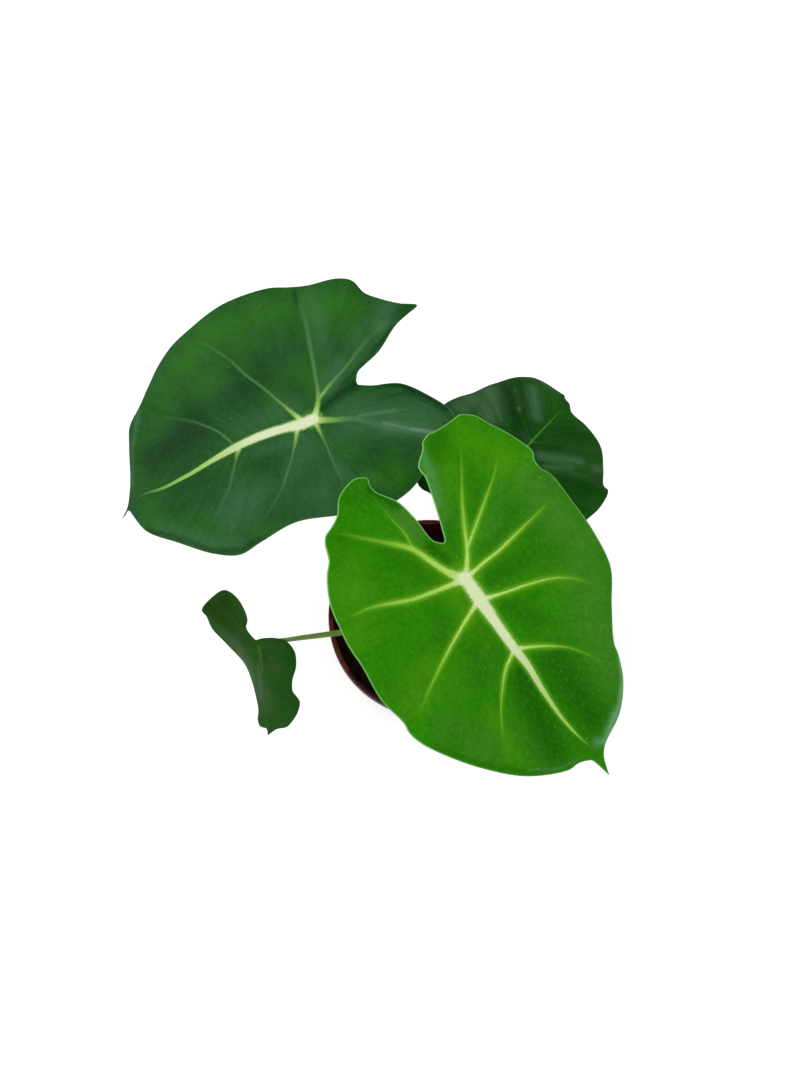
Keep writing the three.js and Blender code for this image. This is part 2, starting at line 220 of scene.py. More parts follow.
# Blades. The margin runs from the sinus round the left half to the tip and back round the right half, as
# millimetres forward of the petiole's joint, left of the midrib, and lifted off the blade's own form.
# A vein is a list of forward and left places. Widths are half widths: veinEnd is the share of it that is
# left at a vein's far end, and flare what it gains at the midrib. veinShow is how clearly a vein shows,
# veinSpan the share of its length that it fades over, and veinTurn how soon its colour turns.
# A stroke is a soft touch of one tone: its two ends, its radius and its strength.
# The deep strokes lay darker green, partly the leaf's own tone and partly painted shade.
# The grey strokes are painted sheen.
# The pale strokes are painted highlights.
# The rim strokes strengthen the pale line along the margin, which is partly its own colour and partly painted
# highlight.
blades = {
    "front": {
        "joint": (10.5, -36.5, 290), "heading": -50, "droop": 17, "roll": 0,
        "tipArc": 420, "lobeArc": 350, "foldLeft": 0.12, "foldRight": 0.12, "foldSoft": 14,
        "left": [
            (-17.6, 1.8, -1), (-17.8, 3.1, -1), (-20.5, 4.5, -1), (-33.2, 9.4, 1), (-45.2, 13.5, 2),
            (-47.7, 13.2, 3), (-50.5, 13.7, 4), (-55.4, 20.7, 2), (-57.6, 22.6, 1), (-59, 28, -1),
            (-58.4, 30.3, -2), (-57.5, 41, -4), (-57.6, 44.6, -4), (-55.9, 47.4, -5), (-52.8, 50.3, -5),
            (-47, 52.5, -5), (-39.7, 55.2, -3.5), (-33.8, 56.8, -2), (-24.9, 57.8, 1), (-21.4, 56, 1),
            (-16.8, 56.2, 0), (-12.2, 58.7, -2), (5, 59.6, -4), (22, 58, -2), (37.5, 55.5, -4),
            (50.8, 45.2, -2), (64, 35.5, 1), (69.8, 34.3, 0), (81.3, 30.4, -3), (92.5, 21.5, -5),
            (98.3, 7.1, -1), (100.5, 4.1, 0), (102.8, 2.6, 0), (111, 0, 0)],
        "right": [
            (100.3, -2.5, 0), (98.9, -3.7, 1), (95.9, -9.2, 2), (95.3, -14.3, 2), (85, -31, -1),
            (68, -45.5, -3), (48, -57.5, -1), (41.5, -60.1, -2), (36.2, -61, -3), (31.5, -60.2, -4),
            (17.5, -62, -2), (0.9, -60, 1), (-5.4, -59.5, 0), (-10.1, -58.8, -1), (-15.1, -57.5, -2),
            (-25.1, -54.6, -3), (-30.7, -51.8, -4), (-37.9, -46.9, -2), (-42, -43, 1), (-49, -39.4, 1),
            (-51.4, -36.7, 0), (-52.3, -33.5, -1), (-55, -27, -3), (-61.3, -19.7, -6), (-63.5, -9.3, -8),
            (-62.1, -6.3, -7), (-60, -4.5, -6), (-56.7, -6.3, -4), (-53.1, -6.6, -2), (-49.1, -5, 0),
            (-44, -2.5, 1), (-31.8, -1.2, 1), (-25.5, -1.3, 0), (-20.8, -0.6, -1)],
        "midrib": [
            (-1, -0.3), (11, -0.8), (24, -1.4), (37, -1.7), (47.5, -1.3), (60.5, -2.5), (74.5, -2.8),
            (85.5, -1.9), (96.5, 0.2), (110, 0)],
        "midribWidths": [2.9, 3.2, 2.25, 2.1, 1.6, 1.2, 0.75, 0.45, 0.3, 0.2],
        "veins": [
            [(-0.5, -1.5), (-8.5, -5.5), (-16, -8), (-23.5, -10.5), (-29, -14.5), (-33.5, -18.5),
             (-41.5, -25.5), (-49, -32)],
            [(-23.5, -10.5), (-31, -9), (-39.5, -9.5), (-50, -9.5)],
            [(0, -2), (-3, -12.5), (-7, -24.5), (-12.5, -35), (-16, -42.5), (-18, -52)],
            [(11.5, -2), (15.5, -14.5), (19.5, -25.5), (25.5, -39.5), (32, -52)],
            [(38, -2), (42.5, -11), (49.5, -18.5), (56.5, -24.5), (67, -31)],
            [(-0.5, 1), (-8.5, 8), (-17, 13.5), (-27, 20), (-34, 25.5), (-46.5, 35.5)],
            [(-9.5, 9), (-14.5, 17.5), (-21.5, 29), (-26.5, 37.5), (-33, 46)],
            [(0.5, 1), (0, 10), (0, 19.5), (-1, 30), (-2, 41), (-3, 51)],
            [(12.5, 1), (16.5, 11.5), (19.5, 20), (24, 30), (29.5, 37.5), (38, 44)],
            [(39, 0), (43, 6.5), (48, 13), (54, 19), (68, 27)]],
        "veinWidths": [1.3, 0.5, 0.95, 0.8, 0.65, 0.85, 0.65, 0.75, 0.62, 0.65], "veinEnd": 0.6, "flare": 1.3,
        "veinShow": [1.0, 0.6, 1.0, 1.0, 0.9, 0.95, 1.0, 1.0, 1.0, 0.9], "veinSpan": 0.5,
        "veinTurn": [1.2, 1.3, 1.1, 1.0, 1.7, 1.6, 1.3, 0.85, 0.95, 1.5],
        "cell": 0.7,
        "strokes": {
            "deep": [
                (50, -7, 84, -15, 9, 0.9), (54, 9, 84, 9, 10, 0.9), (7, 9, 10, 28, 6, 0.55),
                (18, 6, 34, 13, 6, 0.5), (-4, 15, -5, 29, 4, 0.45), (28, -17, 37, -22, 6, 0.4),
                (7, -20, 17, -25, 6, 0.3), (-9, 33, 16, 34, 9, 0.35), (60, -18, 74, -22, 6, 0.3),
                (-8, -11, -26, -20, 6, 0.35), (24, -9, 42, -10, 6, 0.35), (-11, -2.5, -19, -4, 3.2, 1.0),
                (-13, 4, -22, 9, 3, 0.4), (-55, -12, -62, -15, 7, 0.4), (-50, 24, -55, 30, 6, 0.45),
                (-43, -4.5, -55, -7.5, 2.6, 1.0), (48, -10, 74, -16, 6, 0.5), (94, -13, 84, -30, 1.6, 0.5),
                (84, -30, 67, -44, 1.6, 0.5), (67, -44, 48, -56, 1.6, 0.4), (-20, 22, -32, 28, 6, 0.3)],
            "bright": [
                (-48, 40, -24, 48, 9, 0.35), (-45, 24, -30, 22, 6, 0.35), (54, -28, 72, -30, 5, 0.35),
                (20, 30, 30, 34, 7, 0.2), (-30, -40, -10, -52, 9, 0.3), (-14, -9, 28, -9, 5, 0.4),
                (20, -35, 27, -52, 7, 0.4)],
            "paintedSheen": [
                (-12, 50, 20, 50, 10, 0.75), (20, 50, 75, 26, 12, 0.6), (-8, 22, -20, 38, 8, 0.3),
                (45, -45, 66, -38, 7, 0.4), (-27, -5, -42, -6, 3.2, 0.9), (74, -18, 88, -22, 4, 0.6),
                (-25, 9, -44, 17, 3.5, 0.7), (62, -21, 90, -24, 6, 0.15)],
            "paintedHighlight": [
                (71, 34, 82, 29.5, 0.9, 0.5), (82, 29.5, 92, 20.5, 1.3, 0.55),
                (91, 20.5, 97.5, 8, 2.4, 0.55), (97.5, 8, 95, 4, 2.2, 0.3),
                (94.5, -8, 91.5, -18, 0.5, 0.14), (91.5, -18, 83, -29, 0.5, 0.12),
                (-57, 19.5, -45, 15.5, 2.6, 0.2), (-45, 15.5, -33, 11, 2.4, 0.1)],
            "rim": [
                (-18, 2, -48, 13, 6, 1.0), (-48, 13, -59, 28, 6, 1.0), (-58, 30, -52, 50, 6, 0.9),
                (-52, 50, -20, 56, 6, 0.7), (-20, -1, -60, -5, 6, 1.0), (-63, -9, -52, -34, 7, 1.0),
                (-52, -34, -30, -52, 7, 0.9), (-30, -52, 48, -60, 8, 0.8), (-10, 60, 37, 56, 6, 0.4)],
        },
    },
    "left": {
        "joint": (-61.5, 57.5, 250), "heading": -157, "droop": 8, "roll": -3,
        "tipArc": 420, "lobeArc": 320, "foldLeft": 0.36, "foldRight": 0.3, "foldSoft": 14,
        "left": [
            (-28.5, -10, -1), (-28.3, -7.9, -1), (-30, -6.6, -0.5), (-34.4, -4.3, 0), (-48.2, -0.4, -2),
            (-59, 11, -5), (-64.8, 21.7, -6), (-65, 26.4, -6), (-56.5, 38.5, -5), (-42, 49, -3),
            (-29.5, 57.5, -3), (-10.5, 60.5, -3), (7, 54.5, -1), (25.5, 49.5, 2), (44.5, 50, -1),
            (56.5, 50, -4), (68, 43.5, -3), (83, 29.5, 1), (97.5, 13.5, -1), (101, 3, 1), (101.6, 0.4, 1),
            (102.6, -1, 0.5), (104.8, 0.2, 0), (107.4, 0.9, 0)],
        "right": [
            (105.5, -0.3, 0), (103.6, -1.7, 0), (101.5, -4, 0), (96.2, -13.6, -1), (89.3, -31.2, -4),
            (85.1, -38.8, -4), (75.5, -45, -3), (67, -51.5, -3), (58, -58.5, -4), (47.7, -63.7, -4),
            (35.7, -66.5, -3), (24.6, -69, -3), (13.5, -70.5, -4), (-7, -68, -3), (-17, -64, -2),
            (-25.5, -61.5, -2), (-40.5, -58.5, 0), (-47, -54.5, 1), (-50.1, -48.1, -1), (-56.3, -43.6, -3),
            (-63.9, -37.7, -1), (-71.7, -32.1, 3), (-64.9, -29.8, 2), (-57.6, -27.2, 1),
            (-44.7, -19.1, -1), (-35.3, -15.4, -1), (-30.8, -13.4, -1)],
        "midrib": [
            (-3, 0), (5, -0.3), (13.5, -2), (26, -3.6), (39.5, -4.2), (54, -3.5), (67.5, -2.4), (81, -2.7),
            (93.5, -4.6), (106, 0.5)],
        "midribWidths": [2.6, 3.1, 2.15, 2.1, 1.9, 1.25, 1.0, 0.8, 0.55, 0.3],
        "veins": [
            [(-2.5, -1), (-7.5, -8.5), (-10.5, -18), (-14.5, -33), (-17.5, -46), (-18.5, -58)],
            [(-7.5, -8.5), (-16, -13), (-25.5, -17.5), (-35.5, -23), (-43, -26.5), (-58, -31.5)],
            [(4, -1.5), (9.5, -13), (15, -24.5), (20.5, -34.5), (25, -44.5), (30.5, -53.5), (37, -62)],
            [(39, -4), (44, -14.5), (50.5, -22), (59, -29), (72, -38)],
            [(-2, 1), (-10.5, 5), (-19, 8.5), (-28, 16.5), (-37.5, 23.5), (-50, 32)],
            [(-19, 8.5), (-29, 9), (-40, 12.5), (-53, 20)],
            [(-1.5, 2), (-2, 16), (-2, 28), (-2, 38), (0, 50)],
            [(7.5, 0.5), (13.5, 11), (20, 20.5), (26, 28.5), (33.5, 35.5), (42, 42.5)],
            [(38.5, -3), (44, 5.5), (49.5, 14), (55.5, 20), (63, 29)]],
        "veinWidths": [0.9, 0.75, 0.7, 0.65, 1.25, 0.6, 0.6, 0.65, 0.75], "veinEnd": 1.35, "flare": 1.2,
        "veinShow": [1.5, 1.4, 1.05, 1.0, 0.85, 0.35, 0.9, 0.85, 0.7], "veinSpan": 1.15,
        "veinTurn": [1.0, 0.7, 1.4, 2.0, 0.8, 2.0, 1.6, 1.4, 2.0],
        "cell": 0.7,
        "strokes": {
            "deep": [
                (54, -22, 80, -18, 11, 0.9), (14, -30, 32, -26, 9, 0.7), (6, -34, 12, -31, 7, 0.3),
                (-6, -3.5, -30, -9, 3.2, 0.9), (-34, -4.5, -48, 1, 1.6, 0.8), (-48, 1, -58, 12, 2.2, 1.0),
                (-58, 12, -63, 21, 2.4, 1.0), (-40, 4, -50, 7, 0.7, 0.5), (-50, 7, -60, 20, 0.7, 0.5),
                (-56, -27, -40, -19, 1.3, 0.8), (-40, -19, -22, -10, 1.3, 0.6),
                (-18.5, -61, -17.5, -55, 1, 0.7), (26, 14, 34, 10, 8, 0.4), (60, 12, 78, 12, 9, 0.35),
                (58, -10, 74, -8, 5, 0.5), (60, 3, 76, 3, 5, 0.5), (-66, -33, -60, -31, 4, 0.5),
                (44, 49, 56, 48, 2, 0.7), (56, 48, 68, 42, 2, 0.7), (68, 42, 96, 14, 2, 0.6)],
            "bright": [
                (14, -58, 30, -60, 8, 0.8), (36, -56, 48, -52, 8, 0.8), (56, -46, 66, -36, 7, 0.35),
                (-9, -54, 3, -57, 8, 0.7), (-40, -44, -24, -50, 9, 0.9), (-16, 46, -26, 49, 7, 0.8),
                (75, -24, 84, -18, 7, 0.6), (14, -28, 19, -38, 4, 0.4), (-9, -20, -8, -11, 5, 0.4),
                (12, -24, 13, -11, 5, 0.4), (66, 30, 84, 18, 8, 0.35), (40, -38, 46, -44, 7, 0.4)],
            "paintedSheen": [
                (-50, -30, -56, -36, 8, 0.7), (-20, 10, -50, 22, 12, 0.8), (4, 7, 30, 4, 5, 0.5),
                (4, -9, 30, -12, 5, 0.35), (0, 34, 12, 42, 10, 0.5), (57, 44, 90, 22, 6, 0.4),
                (-24, -56, -20, -30, 6, 0.4), (-13, -11, -24, -20, 5, 0.8), (40, 24, 52, 28, 12, 0.6),
                (4, 14, 20, 22, 10, 0.5), (-30, -18, -40, -28, 7, 0.4), (30, -8, 10, -10, 6, 0.4),
                (70, 34, 90, 16, 5, 0.5), (-14, 44, 20, 52, 5, 0.4), (95.5, -12, 88, -29, 1.3, 0.8),
                (88, -29, 77, -43, 1.3, 0.8)],
            "paintedHighlight": [
                (-32, 17.5, -43, 26.5, 0.9, 0.3), (-43, 26.5, -53, 32.5, 1.1, 0.5),
                (-34, 20, -52, 33, 4, 0.1), (-22, 8.5, -40, 13, 0.9, 0.15)],
            "rim": [
                (-50, -48, -72, -33, 5, 0.7), (96, -14, 76, -45, 5, 0.6), (-30, 57, -64, 30, 5, 0.7),
                (-62, 16, -66, 27, 4, 1.0)],
        },
    },
    "back": {
        "joint": (31.5, 37, 220), "heading": 57, "droop": 20, "roll": -2,
        "tipArc": 700, "lobeArc": 300, "foldLeft": 0.08, "foldRight": 0.08, "foldSoft": 14,
        "left": [
            (-17, 0, 0), (-24, 1, -1), (-29.5, 5, -2), (-30.5, 11, -3), (-28, 18, -3), (-25, 24.5, -4),
            (-25.7, 29, -3.5), (-23.8, 33.2, -3.2), (-7.5, 41, -4), (13, 46.5, -3), (29.5, 48.5, -2),
            (39.3, 45.6, -1.5), (48, 41, -1), (60.3, 37.8, -2), (70.8, 34.2, -3), (77, 31.6, -3),
            (82, 28.8, -3), (86, 25.3, -3), (88.4, 21.7, -2.5), (89.3, 15.5, -2), (88.2, 8, -1.5),
            (87, 3, -1), (85.7, 1.1, 0)],
        "right": [
            (83.1, -0.9, 0), (80.6, -4.6, 0), (76, -8.2, -1), (72, -19.5, -2), (63, -32, -3),
            (45.5, -41, -2), (32, -46.5, 0), (29, -50, 1), (17.5, -51, -1), (8, -48.5, -4), (-8, -44, -6),
            (-24, -36, -6), (-36, -25, -5), (-38.5, -15, -3), (-31, -8, -2), (-23, -4, -1)],
        "midrib": [(-1, 0), (12, 0), (32, -1), (48.5, -1.5), (65, -2.5), (78, -2.2), (85, 0.8)],
        "midribWidths": [1.3, 1.1, 0.7, 0.55, 0.4, 0.3, 0.3],
        "veins": [
            [(0, 0), (-9, 8), (-17, 16), (-23, 23)],
            [(0, 0), (-12, -8), (-23, -16), (-32, -22)],
            [(0, 1), (3, 14), (4, 28), (4, 40)],
            [(0, -1), (2, -14), (2, -28), (0, -42)],
            [(14, 0), (24, 12), (34, 24), (44, 36)],
            [(14, 0), (22, -14), (30, -26), (36, -40)],
            [(38, -1), (48, 8), (58, 18), (72, 27)],
            [(38, -1), (46, -12), (54, -20), (62, -28)],
            [(60, -2), (68, 5), (78, 12)],
            [(58, -2), (64, -9), (71, -15)]],
        "veinWidths": [0.5] * 10, "veinEnd": 0.8, "flare": 0.3,
        "veinShow": [0.3] * 10, "veinSpan": 0.6, "veinTurn": [1.0] * 10, "cell": 0.8,
        "strokes": {
            "deep": [
                (42, 8, 66, 27, 5, 0.9), (20, -30, 30, -44, 8, 0.4), (58, -14, 66, -24, 6, 0.4),
                (36, -2, 44, -14, 4, 0.6)],
            "bright": [(84, 12, 70, -3, 6, 0.9), (72, -8, 70, -18, 5, 0.6), (46, -36, 60, -28, 5, 0.4)],
            "paintedSheen": [
                (56, 34, 38, 26, 8, 0.7), (44, 38, 34, 40, 7, 0.7), (50, 29, 40, 19, 2.2, 0.7),
                (78, 17, 57, 5, 3.6, 0.62), (70, 25, 54, 14, 1.6, 0.4), (31, -10, 41, -28, 3.2, 0.62),
                (42, -38, 44, -40, 3, 0.5), (26, -16, 34, -26, 3, 0.4)],
            "paintedHighlight": [(55, 15, 57, 16, 0.9, 0.4)],
            "rim": [(28, 48, 48, 42, 5, 0.8), (48, 42, 84, 27, 5, 0.6), (86, 26, 88, 8, 4, 0.7)],
        },
    },
    "small": {
        "joint": (-96.5, -27, 134), "heading": -85, "droop": 22, "roll": 4,
        "tipArc": 120, "lobeArc": 200, "foldLeft": 0, "foldRight": -0.9, "foldSoft": 5,
        "left": [
            (-4, -1.5, 1), (-4.5, 2, -0.5), (-3.5, 9.5, -4.5), (-0.5, 15.5, -5.5), (5.5, 19, -5.5),
            (14, 18.8, -5.5), (20.5, 16.3, -5), (25.7, 15.4, -5.5), (27.9, 15.5, -5.5), (30.6, 17.1, -5.5),
            (34.5, 18.7, -6), (40.8, 16.7, -6), (47.6, 11.5, -6.5), (49.7, 8.6, -7), (51, 2.5, -9),
            (54.5, -3, -9)],
        "right": [
            (50.5, -3.5, -10), (49.3, -7.3, -10), (45.2, -8.3, -10), (40, -7.5, -13), (30.5, -8.5, -15.5),
            (20, -10.5, -16), (12, -13.5, -15), (-0.5, -22.5, -5.5), (-10.7, -29.2, 5.5), (-17.5, -31, 10),
            (-22.5, -32.5, 16.5), (-29.5, -25, 15), (-33, -18, 11.5), (-31.5, -13.9, 8.5),
            (-26.2, -8.9, 5.5), (-17.5, -5.5, 2.5), (-14.5, -5.4, 2.7), (-11.4, -6.4, 3), (-7.1, -4.5, 1)],
        "midrib": [(0, 0), (14, 0), (27.5, -2.5), (38, -3.5), (53, -2.5)],
        "midribWidths": [0.8, 0.8, 0.7, 0.5, 0.1],
        "veins": [
            [(0, 0), (-9, -9), (-18, -17), (-24, -24)],
            [(0, 0), (0, 7), (3, 15)],
            [(3, 0), (9, 8), (16, 15)],
            [(14, 0), (21, 7), (30, 14)],
            [(27, -2), (34, 6), (40, 12)],
            [(2, 0), (2, -10), (0, -19)]],
        "veinWidths": [0.4] * 6, "veinEnd": 0.8, "flare": 0.3,
        "veinShow": [0.2] * 6, "veinSpan": 0.6, "veinTurn": [1.0] * 6, "cell": 0.5,
        "strokes": {
            "deep": [(-27, -18, -6, -6, 6, 0.9), (-24, -28, -11, -15, 4.5, 0.9), (3, 2, 8, 3, 1.6, 0.8)],
            "bright": [(4, 12, 12, 17, 5, 0.9), (36, 12, 44, 8, 4, 0.6), (18, 8, 26, 10, 5, 0.4)],
            "paintedSheen": [
                (-15, -31, 3, -12, 2.6, 0.8), (6, 2, 12, 8, 4, 0.6), (-2, 6, 2, 12, 4, 0.5),
                (22, 3, 38, 0, 4, 0.3)],
            "paintedHighlight": [(10, -1.5, 32, -4, 1.2, 0.12)],
            "rim": [(5, 19, 26, 15, 4, 0.8), (34, 18, 50, 4, 4, 0.6), (-32, -14, -12, -6, 3, 0.5)],
        },
    },
}
bladeForm = {
    "marginPoints": 520, "edgeWidth": 4.0, "liftPower": 2.5,
    "thickness": 0.7, "edgeShare": 0.3, "edgeTaper": 0.6,           # the sheet thins at its margin
    "grooveDepth": 0.35, "grooveWidth": 1.6, "sideShare": 0.7,      # veins are sunk a little from above
    "puffHeight": 0.8, "puffWidth": 7.0,                            # and the blade swells between them
    "ribDepth": 1.7, "sideRibDepth": 0.8, "midShallow": 0.8,        # and they stand out on the underside
    "ripple": 0.8, "rippleSize": 0.05,
}
veinForm = {
    "branchFrom": 4.0,      # a vein that starts further than this from the midrib leaves the one before it
    "flareLength": 0.06, "fadeIn": 0.02, "fadeOut": 0.12, "hair": 0.004, "far": 1e3, "showEnd": 1.03,
}
streakForm = {
    "lean": 0.35, "spread": 0.036, "backTurn": 28.0,                # streaks lean as the side veins do
    "across": 0.45, "along": 0.035,
    "halves": 7.0, "underside": 30.0, "topSheet": 40.0,             # each half and face has its own noise
}


def smoothLine(points, perSpan):
    # centripetal curve through given points, with perSpan steps from each to the next
    points = np.array(points, float)
    ends = [2 * points[0] - points[1], *points, 2 * points[-1] - points[-2]]
    rows = []
    for a, b, c, d in zip(ends, ends[1:], ends[2:], ends[3:]):
        before, span, after = [max(np.linalg.norm(q - p) ** 0.5, 1e-4) for p, q in ((a, b), (b, c), (c, d))]
        leave = ((b - a) / before - (c - a) / (before + span) + (c - b) / span) * span
        arrive = ((c - b) / span - (d - b) / (span + after) + (d - c) / after) * span
        t = np.linspace(0, 1, perSpan, endpoint=False)[:, None]
        rows.append(b + leave * t + (3 * (c - b) - 2 * leave - arrive) * t ** 2
                    + (2 * (b - c) + leave + arrive) * t ** 3)
    rows.append(points[-1:])
    return np.concatenate(rows)


def evenLine(line, count):
    # count places along a line, evenly spaced, ends included
    along = np.concatenate([[0], np.cumsum(np.linalg.norm(np.diff(line, axis=0), axis=1))])
    wanted = np.linspace(0, along[-1], count)
    return np.stack([np.interp(wanted, along, line[:, k]) for k in range(line.shape[1])], 1)


def bladeAxes(blade):
    heading, droop, roll = (math.radians(blade[key]) for key in ("heading", "droop", "roll"))
    flat = math.cos(droop)
    forward = Vector((math.cos(heading) * flat, math.sin(heading) * flat, -math.sin(droop)))
    level = Vector((-math.sin(heading), math.cos(heading), 0))
    up = forward.cross(level)
    left = level * math.cos(roll) + up * math.sin(roll)
    normal = up * math.cos(roll) - level * math.sin(roll)
    return np.array([forward, left, normal])


def formHeight(blade, forward, left):
    arc = np.where(forward > 0, blade["tipArc"], blade["lobeArc"])
    fold = np.where(left > 0, blade["foldLeft"], blade["foldRight"])
    return -forward ** 2 / (2 * arc) + fold * (np.hypot(left, blade["foldSoft"]) - blade["foldSoft"])


def bladeMargin(blade, count):
    half = count // 2
    left = evenLine(smoothLine(blade["left"], 12), half + 1)
    right = evenLine(smoothLine([blade["left"][-1], *blade["right"], blade["left"][0]], 12), half + 1)
    return np.concatenate([left[:-1], right[:-1]])


def lineField(places, line):
    # distance to a line, the same across it with a sign, and how far along the nearest part of it is;
    # beyond its ends the line goes straight on
    best = np.full(len(places), np.inf)
    across, along = np.zeros(len(places)), np.zeros(len(places))
    last = len(line) - 2
    for k, (a, b) in enumerate(zip(line, line[1:])):
        run = b - a
        size = max(np.hypot(*run), 1e-6)
        gap = places - a
        t = gap @ run / size ** 2
        side = (run[0] * gap[:, 1] - run[1] * gap[:, 0]) / size
        off = np.hypot(side, (t - np.clip(t, 0, 1)) * size)
        t = np.clip(t, -np.inf if k == 0 else 0, np.inf if k == last else 1)
        outside = (t < 0) | (t > 1)
        better = off < best
        best[better] = off[better]
        across[better] = np.where(outside, side, np.copysign(off, side))[better]
        along[better] = (k + t[better]) / (last + 1)
    return best, across, along


def bell(distance, reach):
    return np.exp(-(distance / reach) ** 2)


def veinFields(blade, places):
    # each vein as the distance across it over its own half width, which dwindles to nothing at its far end
    form = veinForm
    fields, gaps, alongs, shows, turns = [], [], [], [], []
    parent = None
    for k, vein in enumerate([blade["midrib"], *blade["veins"]]):
        line = smoothLine(vein, 6)
        best, across, along = lineField(places, line)
        inside = np.clip(along, 0, 1)
        start = 0.0
        if k == 0:
            width = np.interp(inside, np.linspace(0, 1, len(blade["midribWidths"])), blade["midribWidths"])
        else:
            taper = 1 + (blade["veinEnd"] - 1) * inside
            if abs(vein[0][1]) < form["branchFrom"]:
                taper = taper + blade["flare"] * np.exp(-inside / form["flareLength"])
            else:
                start = lineField(line[:1], parent)[2][0]    # a branch goes on from the vein before it
            width = blade["veinWidths"][k - 1] * taper
        parent = line
        fade = np.clip((1 - along) / form["fadeOut"], 0, 1) ** 0.5 * np.clip(1 + along / form["fadeIn"], 0, 1)
        beyond = (along < -form["fadeIn"]) | (along > 1)
        fields.append(np.where(beyond, form["far"], across / (width * fade + form["hair"])))
        gaps.append(np.maximum(best - width, 0))
        inside = start + (1 - start) * inside
        alongs.append(inside)
        if k:
            show = blade["veinShow"][k - 1] * (form["showEnd"] - inside) / blade["veinSpan"]
            shows.append(np.clip(show, 0, 1))
            turns.append(np.clip(blade["veinTurn"][k - 1] * inside, 0, 1))
    while len(fields) % 3:
        fields.append(np.full(len(places), form["far"]))
    nearest = np.argmin(gaps[1:], axis=0)[None]
    sides = {"sideGap": gaps[1:], "sideAlong": alongs[1:], "sideShow": shows, "sideTurn": turns}
    picked = {key: np.take_along_axis(np.array(values), nearest, 0)[0] for key, values in sides.items()}
    return {"fields": fields, "midGap": gaps[0], "midAlong": alongs[0], **picked}


def strokeField(places, strokes):
    # how much of a soft stroke lies on each place
    field = np.zeros(len(places))
    for forwardA, leftA, forwardB, leftB, radius, strength in strokes:
        best = lineField(places, np.array([(forwardA, leftA), (forwardB, leftB)], float))[0]
        field = np.maximum(field, strength * bell(best, radius))
    return field


def liftField(places, margin, toMargin):
    # the margin's lift, spread inwards and dying away towards the petiole's joint
    total, weights = np.zeros(len(places)), np.zeros(len(places))
    for forward, left, lift in margin[::2]:
        weight = 1 / ((places[:, 0] - forward) ** 2 + (places[:, 1] - left) ** 2 + 0.2) ** 2
        total += weight * lift
        weights += weight
    reach = np.hypot(*places.T)
    return total / weights * (reach / (reach + toMargin + 1e-6)) ** bladeForm["liftPower"]


def cutEvenly(bm, faces, axis, lines):
    # cut at the middle line, then each half at its own middle line, and so on
    if not lines:
        return
    middle = len(lines) // 2
    at = lines[middle]
    parts = {part for face in faces for part in (face, *face.edges, *face.verts)}
    made = bmesh.ops.bisect_plane(bm, geom=list(parts), dist=1e-4, plane_co=(at, at, 0),
                                  plane_no=(1 - axis, axis, 0))["geom"]
    faces = [part for part in made if isinstance(part, bmesh.types.BMFace)]
    low = [face for face in faces if face.calc_center_median()[axis] < at]
    high = [face for face in faces if face.calc_center_median()[axis] >= at]
    cutEvenly(bm, low, axis, lines[:middle])
    cutEvenly(bm, high, axis, lines[middle + 1:])


def flatNet(margin, cell):
    # the outline as one flat face, cut into an even net
    bm = bmesh.new()
    bm.faces.new([bm.verts.new((forward, left, 0)) for forward, left, lift in margin])
    for axis in (0, 1):
        places = margin[:, axis]
        lines = np.arange(places.min() + cell, places.max() - 0.2 * cell, cell)
        cutEvenly(bm, bm.faces[:], axis, [float(at) for at in lines])
    return bm


def bladeFaces(blade, bm, places, margin, toMargin, veins):
    # the places of the upper and the lower face, in the blade's own frame
    form = bladeForm
    forward, left = places.T
    edge = 1 - bell(toMargin, form["edgeWidth"])
    nearest = np.minimum(veins["midGap"], veins["sideGap"])
    puff = form["puffHeight"] * (1 - np.exp(-nearest / form["puffWidth"])) * edge
    mid = bell(veins["midGap"], form["grooveWidth"]) * (1 - form["midShallow"] * veins["midAlong"])
    side = bell(veins["sideGap"], form["sideShare"] * form["grooveWidth"]) * (1 - veins["sideAlong"])
    groove = form["grooveDepth"] * np.maximum(mid, form["sideShare"] * side) * edge
    spots = [Vector((*place, blade["heading"])) for place in places * form["rippleSize"]]
    height = formHeight(blade, forward, left) + liftField(places, margin, toMargin) + puff - groove
    height += form["ripple"] * np.array([noise.noise(spot) for spot in spots]) * edge
    for vert, z in zip(bm.verts, height):
        vert.co.z = z
    bm.normal_update()
    normal = np.array([vert.normal for vert in bm.verts])
    normal *= np.sign(normal[:, 2:])
    middle = np.stack([forward, left, height], 1)
    body = 1 - np.exp(-toMargin / form["edgeTaper"])
    half = 0.5 * form["thickness"] * (form["edgeShare"] + (1 - form["edgeShare"]) * body)
    rib = np.maximum(form["ribDepth"] * mid, form["sideRibDepth"] * side) * edge + 2 * groove
    return middle + normal * half[:, None], middle - normal * (half + rib)[:, None]


def doubleSheet(bm):
    # the sheet is doubled downwards, with a wall round the margin
    count = len(bm.verts)
    pick = bm.verts.layers.int.new("pick")
    for index, vert in enumerate(bm.verts):
        vert[pick] = index
    sheet = bm.verts[:] + bm.edges[:] + bm.faces[:]
    made = bmesh.ops.extrude_face_region(bm, geom=sheet, use_keep_orig=True)["geom"]
    for part in made:
        if isinstance(part, bmesh.types.BMVert):
            part[pick] += count
            part.co.z -= 1
    bmesh.ops.recalc_face_normals(bm, faces=bm.faces)


